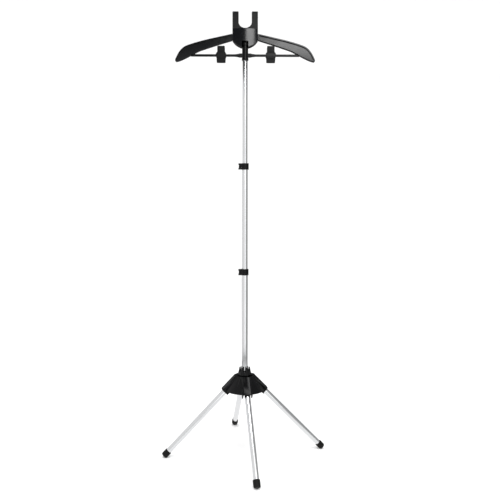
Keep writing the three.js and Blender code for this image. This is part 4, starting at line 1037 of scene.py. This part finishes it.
def head_outline(wall):
    radius, centre = sag_arc(HEAD_HALF, HEAD_SIDE, HEAD_BOTTOM)
    half = HEAD_HALF - wall
    reach = math.degrees(math.asin(half / (radius - wall)))
    bottom = arc(0, centre, radius - wall, -90 - reach, reach - 90, 48)
    return [*bottom, (half, HEAD_TOP - wall), (-half, HEAD_TOP - wall)]


def head_plan(side, depth, bulge, wall):
    radius, centre = sag_arc(HEAD_HALF, bulge, 0)
    reach = math.degrees(math.asin(HEAD_HALF / radius))
    face = arc(0, centre - depth, radius - wall, -90 - reach, reach - 90, 48)
    split = MM if wall else -GAP / 2
    return [(x, -side * y) for x, y in [*face, (HEAD_HALF, split), (-HEAD_HALF, split)]]


def head_body(side, depth, bulge, wall=0.0):
    y0, y1 = (-MM, depth + MM) if side > 0 else (-depth - MM, MM)
    plan = prism(head_plan(side, depth, bulge, wall), HEAD_BOTTOM - MM, HEAD_TOP + MM)
    return common(slab(head_outline(wall), y0, y1), plan)


# %% The covers
ARM_TOP = in_mm((41.2, 1381), (92, 1369.7), (133, 1360.5), (174, 1348.7), (195, 1340),
                (210, 1325.5), (221, 1306), (224, 1297.5))
ARM_BOTTOM = in_mm((41.2, 1362.2), (92, 1346.8), (131, 1334), (149, 1327.5), (174, 1314.6),
                   (194, 1304.6), (208, 1298.6), (221, 1295))
ARM_ROOT_X = ARM_TOP[0][0]
TONGUE_X, TONGUE_HALF, TONGUE_STEP, WINDOW_MARGIN = 29 * MM, 6.5 * MM, 1.6 * MM, 1.5 * MM
TANG_HALF, TANG_DEPTH, TANG_LENGTH = 27 * MM, 10 * MM, 12 * MM


def tongue_outline(margin, reach):
    def on(edge, x, shift):
        slope = (edge[1][1] - edge[0][1]) / (edge[1][0] - edge[0][0])
        return x, edge[0][1] + slope * (x - ARM_ROOT_X) + shift

    step, inner = TONGUE_STEP - margin, TONGUE_X - margin
    return [on(ARM_BOTTOM, inner, step), on(ARM_BOTTOM, reach, step),
            on(ARM_TOP, reach, -step), on(ARM_TOP, inner, -step)]


def fittings(side, depth, bulge):
    """The shelf under the neck's flange, the fins over it and the screw bosses."""
    y0, y1 = (0, depth) if side > 0 else (-depth, 0)
    under, over = NECK_TOP - NECK_FLANGE - GAP, NECK_TOP + GAP
    shelf = block((-HEAD_HALF, y0, under - FIN), (HEAD_HALF, y1, under))
    for x in (-SCREW_X, SCREW_X):
        shelf = joined(shelf, pin_hole(BOSS_R, x, SCREW_Z, y0, y1),
                       block((x - FIN / 2, y0, over), (x + FIN / 2, y1, SCREW_Z)))
    kept = common(shelf, head_body(side, depth, bulge, HEAD_WALL / 2))
    return cut(kept, block((-1, -GAP / 2, 0), (1, GAP / 2, 2)))


def head_cover(side, depth, bulge):
    outer = head_body(side, depth, bulge)
    baked(rounded_edges(outer, 1.6 * MM, 4, 40))
    shell = joined(cut(outer, head_body(side, depth, bulge, HEAD_WALL)), fittings(side, depth, bulge))
    half = TONGUE_HALF + 2 * GAP
    window = tongue_outline(WINDOW_MARGIN, HEAD_HALF + 2 * MM)
    tools = [slab(mirrored(window, way), -half, half) for way in (-1, 1)]
    tools.append(rod_solid(NECK_R + 2 * GAP, HEAD_BOTTOM - MM, NECK_TOP))
    tools.append(rod_solid(NECK_FLANGE_R + GAP, NECK_TOP - NECK_FLANGE - GAP, NECK_TOP + 2 * PLUG_FLANGE))
    tools.append(block((-TANG_HALF - GAP, -TANG_DEPTH / 2 - GAP, HEAD_TOP - HEAD_WALL - MM),
                       (TANG_HALF + GAP, TANG_DEPTH / 2 + GAP, HEAD_TOP + MM)))
    return cut(shell, *tools)


def front_cover():
    corner = NOTCH_CORNER
    notch = [(-NOTCH_HALF, HEAD_BOTTOM - MM), (NOTCH_HALF, HEAD_BOTTOM - MM),
             *arc(NOTCH_HALF - corner, NOTCH_TOP - corner, corner, 0, 90, 6),
             *arc(corner - NOTCH_HALF, NOTCH_TOP - corner, corner, 90, 180, 6)]
    tools = [pin_hole(PIN_R + GAP, x, SCREW_Z, -SCREW_REACH, MM) for x in (-SCREW_X, SCREW_X)]
    tools.append(slab(notch, -HEAD_FRONT - MM, 0))
    seam = block((-1, -1, HEAD_TOP - SEAM_DROP), (1, 0, HEAD_TOP + MM))
    core = head_plan(-1, HEAD_FRONT, FRONT_BULGE, SEAM_INSET)
    tools.append(cut(seam, prism(core, HEAD_TOP - 4 * MM, HEAD_TOP + 2 * MM)))
    finished(cut(head_cover(-1, HEAD_FRONT, FRONT_BULGE), *tools), "front_cover", 0.4 * MM, 2)


SCREW_SEAT_Y = HEAD_BACK - BACK_BULGE - SCREW_HEAD


def back_cover():
    tools = []
    for x in (-SCREW_X, SCREW_X):
        tools.append(pin_hole(PIN_R + GAP, x, SCREW_Z, -MM, HEAD_BACK + MM))
        tools.append(pin_hole(SCREW_HEAD_R + GAP, x, SCREW_Z, SCREW_SEAT_Y, HEAD_BACK + MM))
    finished(cut(head_cover(1, HEAD_BACK, BACK_BULGE), *tools), "back_cover", 0.4 * MM, 2)


front_cover()
back_cover()

# %% [markdown]
# ## The open fork
#
# The fork stands on the head, held by a tang between the covers. Its gap has large rounded
# lower corners, and each prong has a shallow framed panel on both faces.

# %% Fork
FORK_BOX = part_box("cradle_fork")
FORK_TOP, FORK_HALF = FORK_BOX[1].z, FORK_BOX[1].x
FORK_DEPTH = FORK_BOX[1].y - FORK_BOX[0].y
FORK_GAP_HALF, FORK_FLOOR, FORK_CORNER = 21 * MM, 1400 * MM, 18 * MM
FORK_TIP, FORK_RIM, FORK_RECESS = 2 * MM, 3 * MM, 1.6 * MM


def cradle_fork():
    base, inner, tip, half = HEAD_TOP + GAP, FORK_GAP_HALF, FORK_TIP, FORK_DEPTH / 2
    corner_z = FORK_FLOOR + FORK_CORNER
    right = [*arc(FORK_HALF - tip, FORK_TOP - tip, tip, 0, 90, 6),
             *arc(inner + tip, FORK_TOP - tip, tip, 90, 180, 6),
             *arc(inner - FORK_CORNER, corner_z, FORK_CORNER, 0, -90, 20)]
    outline = [(FORK_HALF, base), *right, *mirrored(right[::-1]), (-FORK_HALF, base)]
    panel = rounded([(inner + FORK_RIM, corner_z - FORK_CORNER / 2),
                     (FORK_HALF - FORK_RIM, base + FORK_RIM),
                     (FORK_HALF - FORK_RIM, FORK_TOP - FORK_RIM),
                     (inner + FORK_RIM, FORK_TOP - FORK_RIM)], 2 * MM)
    ease = [(-half - MM, FORK_FLOOR - 3.6 * MM), (-half + 3 * MM, FORK_FLOOR + 0.4 * MM),
            (-half - MM, FORK_FLOOR + 0.4 * MM)]
    ledge = inner - 0.45 * FORK_CORNER
    tools = [prism(ease, -ledge, ledge, ALONG_X)]
    for side in (-1, 1):
        points = mirrored(panel, side)
        tools.append(slab(points, -half - MM, FORK_RECESS - half))
        tools.append(slab(points, half - FORK_RECESS, half + MM))
    tang = block((-TANG_HALF, -TANG_DEPTH / 2, HEAD_TOP - TANG_LENGTH),
                 (TANG_HALF, TANG_DEPTH / 2, base + MM))
    finished(joined(cut(slab(outline, -half, half), *tools), tang), "cradle_fork", 0.8 * MM, 3)


cradle_fork()

# %% [markdown]
# ## The wings
#
# Each wing is an arm, half of the trouser bar and a clip. The arm is a rim round a thin web,
# which keeps a long moulding light and stiff. Its edges are splines through a few points.

# %% Arms
ARM_HALF_DEPTH, ARM_RIM, ARM_WEB = 9.5 * MM, 3.4 * MM, 4 * MM
BAR_HALF_Z, BAR_HALF_Y = 3.5 * MM, 2.5 * MM
BAR_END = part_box("right_bar")[1].x
SOCKET_LENGTH, SOCKET_WALL = 18 * MM, 2.2 * MM


def arm(name, side):
    outline = spline(ARM_BOTTOM, 6) + spline(ARM_TOP, 6)[::-1]
    pocket = mirrored(moved_in(outline, ARM_RIM), side)
    body = slab(mirrored(outline, side), -ARM_HALF_DEPTH, ARM_HALF_DEPTH)
    pockets = [slab(pocket, -ARM_HALF_DEPTH - MM, -ARM_WEB / 2),
               slab(pocket, ARM_WEB / 2, ARM_HALF_DEPTH + MM)]
    x0, x1 = sorted((side * (BAR_END - SOCKET_LENGTH), side * (BAR_END + GAP)))
    hole_y, hole_z = BAR_HALF_Y + GAP, BAR_HALF_Z + GAP
    sy, sz = hole_y + SOCKET_WALL, hole_z + SOCKET_WALL
    socket = common(block((x0 - 2 * MM, -sy, BAR_Z - sz), (x1 + 2 * MM, sy, BAR_Z + sz)),
                    slab(mirrored(outline, side), -sy, sy))
    root = mirrored(tongue_outline(0, ARM_ROOT_X + 4 * MM), side)
    tongue = slab(root, -TONGUE_HALF, TONGUE_HALF)
    hole = block((x0, -hole_y, BAR_Z - hole_z), (x1, hole_y, BAR_Z + hole_z))
    arm_solid = cut(joined(cut(body, *pockets), socket, tongue), hole)
    finished(arm_solid, f"{name}_arm", 1.3 * MM, 4)


for name, side in SIDES:
    arm(name, side)

# %% Bars, wing pins and cover screws
BAR_TAPER = 33 * MM


def bar(name, side):
    line = [(WING_PIVOT.x, BAR_Z - EYE_R), (BAR_TAPER, BAR_Z - BAR_HALF_Z), (BAR_END, BAR_Z - BAR_HALF_Z),
            (BAR_END, BAR_Z + BAR_HALF_Z), (BAR_TAPER, BAR_Z + BAR_HALF_Z), (WING_PIVOT.x, BAR_Z + EYE_R)]
    pivot = side * WING_PIVOT.x
    shank = slab(mirrored(line, side), -BAR_HALF_Y, BAR_HALF_Y)
    eye = pin_hole(EYE_R, pivot, BAR_Z, -EYE_HALF, EYE_HALF, 64)
    hole = pin_hole(PIN_R + GAP, pivot, BAR_Z, -NECK_R, NECK_R)
    finished(cut(joined(eye, shank), hole), f"{name}_bar", 0.5 * MM, 3)


def cover_screw(name, side):
    low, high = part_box(f"{name}_cover_screw")
    head0, head1 = SCREW_SEAT_Y + GAP, SCREW_SEAT_Y + GAP + SCREW_HEAD
    ease = 0.5 * MM
    place = axes(AXIS_X, -AXIS_Z, AXIS_Y, (side * SCREW_X, 0, SCREW_Z))
    profile = [(0, low.y), (PIN_R - ease, low.y), (PIN_R, low.y + ease), (PIN_R, head0),
               (SCREW_HEAD_R, head0), (SCREW_HEAD_R, head1 - ease), (SCREW_HEAD_R - ease, head1), (0, head1)]
    recess = rounded([(-2, -0.4), (-0.4, -0.4), (-0.4, -2), (0.4, -2), (0.4, -0.4), (2, -0.4),
                      (2, 0.4), (0.4, 0.4), (0.4, 2), (-0.4, 2), (-0.4, 0.4), (-2, 0.4)], 0.2, 2)
    cross = prism(in_mm(*recess), head1 - 0.9 * MM, head1 + MM, place)
    finished(cut(turned(profile, FINE, place), cross), f"{name}_cover_screw", 0.15 * MM, 2)


for name, side in SIDES:
    bar(name, side)
    plain_pin(f"{name}_wing_pin", PIN_R, "y")
    cover_screw(name, side)

# %% [markdown]
# ## The trouser clips
#
# A clip is two bent plates on one pin. The back plate has a saddle that slides on the bar, the
# front plate opens against a torsion spring, and ribbed rubber pads grip the cloth. A jaw is the
# overlap of its side view and its front view, which is how its real mould is drawn.

# %% Sizes of a clip
CLIP_TOP, CLIP_BOTTOM, CLIP_PLATE, CLIP_HALF = 28 * MM, 22.5 * MM, 2.4 * MM, 16.3 * MM
TAB_HALF, JAW_HALF, CLIP_PIVOT_Z, CLIP_EYE_R = 12 * MM, 14 * MM, 9 * MM, 3 * MM
CLIP_PIN_R = 1.2 * MM
JAW_LINE = [(9.5 * MM, CLIP_TOP), (8.8 * MM, 14 * MM), (7.4 * MM, 6 * MM), (7.4 * MM, -5 * MM),
            (5.4 * MM, -13 * MM), (4.6 * MM, -CLIP_BOTTOM)]
JAW_OUTLINE = [(TAB_HALF, CLIP_TOP), (TAB_HALF, 10 * MM), (CLIP_HALF, 5 * MM), (CLIP_HALF, -4 * MM),
               (JAW_HALF + 0.6 * MM, -7 * MM), (JAW_HALF, -CLIP_BOTTOM)]
WAIST_Y = JAW_LINE[2][0]
CHEEK_X, EAR_X, LUG_REACH = (6 * MM, 8.4 * MM), (8.8 * MM, 11.4 * MM), 8 * MM
SADDLE_TOP = CLIP_PIVOT_Z - CLIP_EYE_R - 2 * GAP


def side_slab(outline, x0, x1, place):
    """An outline in y and z as a slab from x0 to x1."""
    return prism(outline, x0, x1, place @ ALONG_X)


def jaw_plate(side, place):
    profile = mirrored(strip(spline(JAW_LINE, 8), CLIP_PLATE), side)
    front = rounded([*JAW_OUTLINE, *mirrored(JAW_OUTLINE[::-1])], 3 * MM, 8)
    plate = side_slab(profile, -CLIP_HALF, CLIP_HALF, place)
    mask = prism(front, -20 * MM, 20 * MM, place @ FACING_BACK)
    return common(plate, mask)


def pivot_lugs(span, side, low, place):
    top, solids = CLIP_PIVOT_Z + CLIP_EYE_R, []
    link = [(side * LUG_REACH, top), (0, top), (0, low), (side * LUG_REACH, low)]
    for a, b in (span, (-span[1], -span[0])):
        centre = place @ at(0, 0, CLIP_PIVOT_Z)
        solids += [rod_solid(CLIP_EYE_R, a, b, FINE, across(centre)), side_slab(link, a, b, place)]
    return solids


def clip_pin_hole(place):
    centre = place @ at(0, 0, CLIP_PIVOT_Z)
    return rod_solid(CLIP_PIN_R + GAP, -CLIP_HALF, CLIP_HALF, FINE, across(centre))


# %% Jaws
def back_jaw(name, place):
    saddle = block((-13 * MM, -4.8 * MM, -BAR_HALF_Z - 2 * MM), (13 * MM, WAIST_Y, SADDLE_TOP), place)
    hole = block((-CLIP_HALF - MM, -BAR_HALF_Y - GAP, -BAR_HALF_Z - GAP),
                 (CLIP_HALF + MM, BAR_HALF_Y + GAP, BAR_HALF_Z + GAP), place)
    lugs = pivot_lugs(CHEEK_X, 1, SADDLE_TOP - MM, place)
    jaw = cut(joined(jaw_plate(1, place), saddle, *lugs), hole, clip_pin_hole(place))
    finished(jaw, f"{name}_clip_back_jaw", 0.5 * MM, 3)


def front_jaw(name, place):
    half, rim = JAW_HALF - 3 * MM, 3 * MM
    lugs = pivot_lugs(EAR_X, -1, CLIP_PIVOT_Z - CLIP_EYE_R, place)
    y0, y1 = -WAIST_Y - CLIP_PLATE, 0.7 * MM - WAIST_Y - CLIP_PLATE / 2
    panel = rounded([(-half, rim - CLIP_BOTTOM), (half, rim - CLIP_BOTTOM),
                     (half, -7 * MM), (-half, -7 * MM)], MM)
    recess = prism(panel, -y1, -y0, place @ FACING_BACK)
    grips = []
    for k in range(4):
        z = CLIP_TOP - (4 + 2.6 * k) * MM
        face = -JAW_LINE[0][0] - 0.55 * CLIP_PLATE + 0.07 * (CLIP_TOP - z)
        centre = place @ at(0, face, z)
        grips.append(rod_solid(0.7 * MM, -TAB_HALF + 2.5 * MM, TAB_HALF - 2.5 * MM, 24, across(centre)))
    jaw = cut(joined(jaw_plate(-1, place), *lugs, *grips), clip_pin_hole(place), recess)
    finished(jaw, f"{name}_clip_front_jaw", 0.4 * MM, 3)


# %% [markdown]
# The spring is one wire: down from the back tab, seven and a half turns round the pin, and up
# the front tab. Its points are worked out by a formula, and a node tree gives the line its
# thickness.

# %% Springs and pads
SPRING_R, WIRE_R, SPRING_HALF, SPRING_TURNS = 2.6 * MM, 0.5 * MM, 4.15 * MM, 7.5
PAD_HEIGHT, PAD_RIBS = 9 * MM, 4


def wire_tree():
    tree = Tree("bent wire", ("Radius",), ("Sides",), ("Line",))
    path = tree.add("GeometryNodeMeshToCurve", inputs={0: tree.input["Line"]})
    section = tree.circle(tree.input["Sides"], tree.input["Radius"])
    return tree.end(tree.swept(path, section, **{"Fill Caps": True}))


WIRES = wire_tree()


def clip_spring(name, place):
    steps = 150
    points = [(SPRING_HALF, 6.6 * MM, CLIP_TOP - 7.6 * MM)]
    for i in range(steps + 1):
        turn = -2 * math.pi * SPRING_TURNS * i / steps
        x = SPRING_HALF * (1 - 2 * i / steps)
        points.append((x, SPRING_R * math.cos(turn), CLIP_PIVOT_Z + SPRING_R * math.sin(turn)))
    points.append((-SPRING_HALF, -SPRING_R, CLIP_TOP - 8.6 * MM))
    edges = [(i, i + 1) for i in range(len(points) - 1)]
    line = new_mesh("wire", [place @ Vector(p) for p in points], edges, [])
    spring = WIRES.make("spring", line, Radius=WIRE_R, Sides=12, Material=FINISHES["steel_pin"])
    finished(aligned(spring), f"{name}_clip_spring")


def clip_pad(name, which, side, place):
    low, pitch, face = MM - CLIP_BOTTOM, PAD_HEIGHT / PAD_RIBS, GAP
    back = JAW_LINE[-1][0] - CLIP_PLATE / 2 - GAP - 0.4 * MM
    section = [(back, low)]
    for k in range(PAD_RIBS):
        z = low + pitch * (k + 0.5)
        section += [(face + 0.8 * MM, z - pitch / 2 + 0.1 * MM)]
        for step in range(13):
            turn = math.radians(15 * step - 90)
            depth = 0.8 * MM * (1 - math.cos(turn))
            section += [(face + depth, z + 0.38 * pitch * math.sin(turn))]
    section += [(face + 0.8 * MM, low + PAD_HEIGHT), (back, low + PAD_HEIGHT)]
    half = JAW_HALF - 1.5 * MM
    pad = side_slab(mirrored(section, side), -half, half, place)
    finished(pad, f"{name}_clip_{which}_pad", 0.2 * MM, 2, angle=50)


for name in ("left", "right"):
    low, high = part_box(f"{name}_clip_back_jaw")
    place = at((low.x + high.x) / 2, 0, BAR_Z)
    back_jaw(name, place)
    front_jaw(name, place)
    clip_spring(name, place)
    plain_pin(f"{name}_clip_pin", CLIP_PIN_R, "x")
    clip_pad(name, "back", 1, place)
    clip_pad(name, "front", -1, place)

left_over = sorted(set(frame["nodes"]) - set(made))
print("pieces made:", len(made), "still plain:", left_over)

# %% [markdown]
# ## The studio
#
# The stand is on a pale floor that curves up into a backdrop, lit by large soft lights. Bare
# metal only shows what it reflects, so curved cards round the stand, seen only in reflections,
# draw the long light and dark bands that make a tube look round.


# %% Floor and backdrop
FLOOR_START, BEND_START, BEND_R = -6.0, 4.0, 2.5
WALL_TOP, FLOOR_HALF = 9.0, 9.0


def backdrop():
    bend = [math.radians(a) for a in range(0, 91, 6)]
    curve = [(BEND_START + BEND_R * math.sin(a), BEND_R - BEND_R * math.cos(a)) for a in bend]
    profile = [(FLOOR_START, 0.0), *curve, (BEND_START + BEND_R, WALL_TOP)]
    points = [(x, y, z) for x in (-FLOOR_HALF, FLOOR_HALF) for y, z in profile]
    count = len(profile)
    faces = [(i, i + 1, count + i + 1, count + i) for i in range(count - 1)]
    mesh = new_mesh("backdrop", points, [], [tuple(reversed(f)) for f in faces])
    for polygon in mesh.polygons:
        polygon.use_smooth = True
    sheet = new_object("backdrop", mesh)
    mesh.materials.append(Finish("backdrop_white", (0.93, 0.93, 0.93), 0.9).material)
    return sheet


def reflected_only(name, points, faces, glow):
    """A glowing sheet that only reflections can see."""
    mesh = new_mesh(name, points, [], faces)
    mesh.materials.append(Finish(name, (0, 0, 0), 0.9, specular=0.0, glow=glow).material)
    thing = new_object(name, mesh)
    thing.visible_camera = False
    thing.visible_diffuse = False
    thing.visible_shadow = False


def band(name, first, second, glow, start=-180, end=180, steps=48):
    """A sheet between two rings of a given radius and height, from one bearing to another."""
    turn = [math.radians(start + (end - start) * i / steps) for i in range(steps + 1)]
    points = [(r * math.sin(t), -r * math.cos(t), z) for r, z in (first, second) for t in turn]
    faces = [(i, i + 1, steps + 2 + i, steps + 1 + i) for i in range(steps)]
    reflected_only(name, points, faces, glow)


backdrop()
CARD_FOOT, CARD_HEAD = (0.9, 0.01), (0.9, 1.5)
FLOOR_MIDDLE, FLOOR_RING, FLOOR_EDGE = (0.01, 0.003), (0.7, 0.003), (3.4, 0.003)
CEILING_EDGE, CEILING_MIDDLE = (3.4, 4.5), (0.01, 4.5)
band("left_card", CARD_FOOT, CARD_HEAD, 0.77, -150, -6)
band("front_card", CARD_FOOT, CARD_HEAD, 1.25, -6, 39)
band("right_card", CARD_FOOT, CARD_HEAD, 0.35, 39, 144)
band("floor_card", FLOOR_MIDDLE, FLOOR_RING, 0.92)
band("floor_shade", FLOOR_RING, FLOOR_EDGE, 0.25)
band("wall_shade", FLOOR_EDGE, CEILING_EDGE, 0.1)
band("ceiling_shade", CEILING_EDGE, CEILING_MIDDLE, 0.1)


# %% Lights and camera
def soft_light(name, place, target, size, power):
    data = bpy.data.lights.new(name, "AREA")
    data.shape = "RECTANGLE"
    data.size, data.size_y = size
    data.energy = power
    light = new_object(name, data)
    light.location = place
    light.rotation_euler = (Vector(target) - Vector(place)).to_track_quat("-Z", "Y").to_euler()
    light.visible_camera = False


world = bpy.data.worlds.new("studio")
world.use_nodes = True
glow = world.node_tree.nodes["Background"].inputs
glow["Color"].default_value = WHITE
glow["Strength"].default_value = 1.1
bpy.context.scene.world = world
bpy.context.scene.view_settings.view_transform = "Standard"
soft_light("key", (0.55, -2.05, 1.85), (0, 0, 1.38), (0.9, 0.5), 14)
soft_light("top", (0.1, -0.9, 3.2), (0, 0, 0.3), (1.4, 1.4), 40)

LENS, SENSOR = 44.78, 36.0
EYE = Vector((0, -2.041, 0.863))
PITCH, YAW, ROLL = 0.085, -0.0083, 0.0022
camera_data = bpy.data.cameras.new("camera")
camera_data.lens = LENS
camera_data.sensor_width = SENSOR
camera = new_object("camera", camera_data)
camera.matrix_world = (Matrix.Translation(EYE) @ Matrix.Rotation(YAW, 4, "Z")
                       @ Matrix.Rotation(math.pi / 2 - PITCH, 4, "X") @ Matrix.Rotation(ROLL, 4, "Z"))
bpy.context.scene.camera = camera
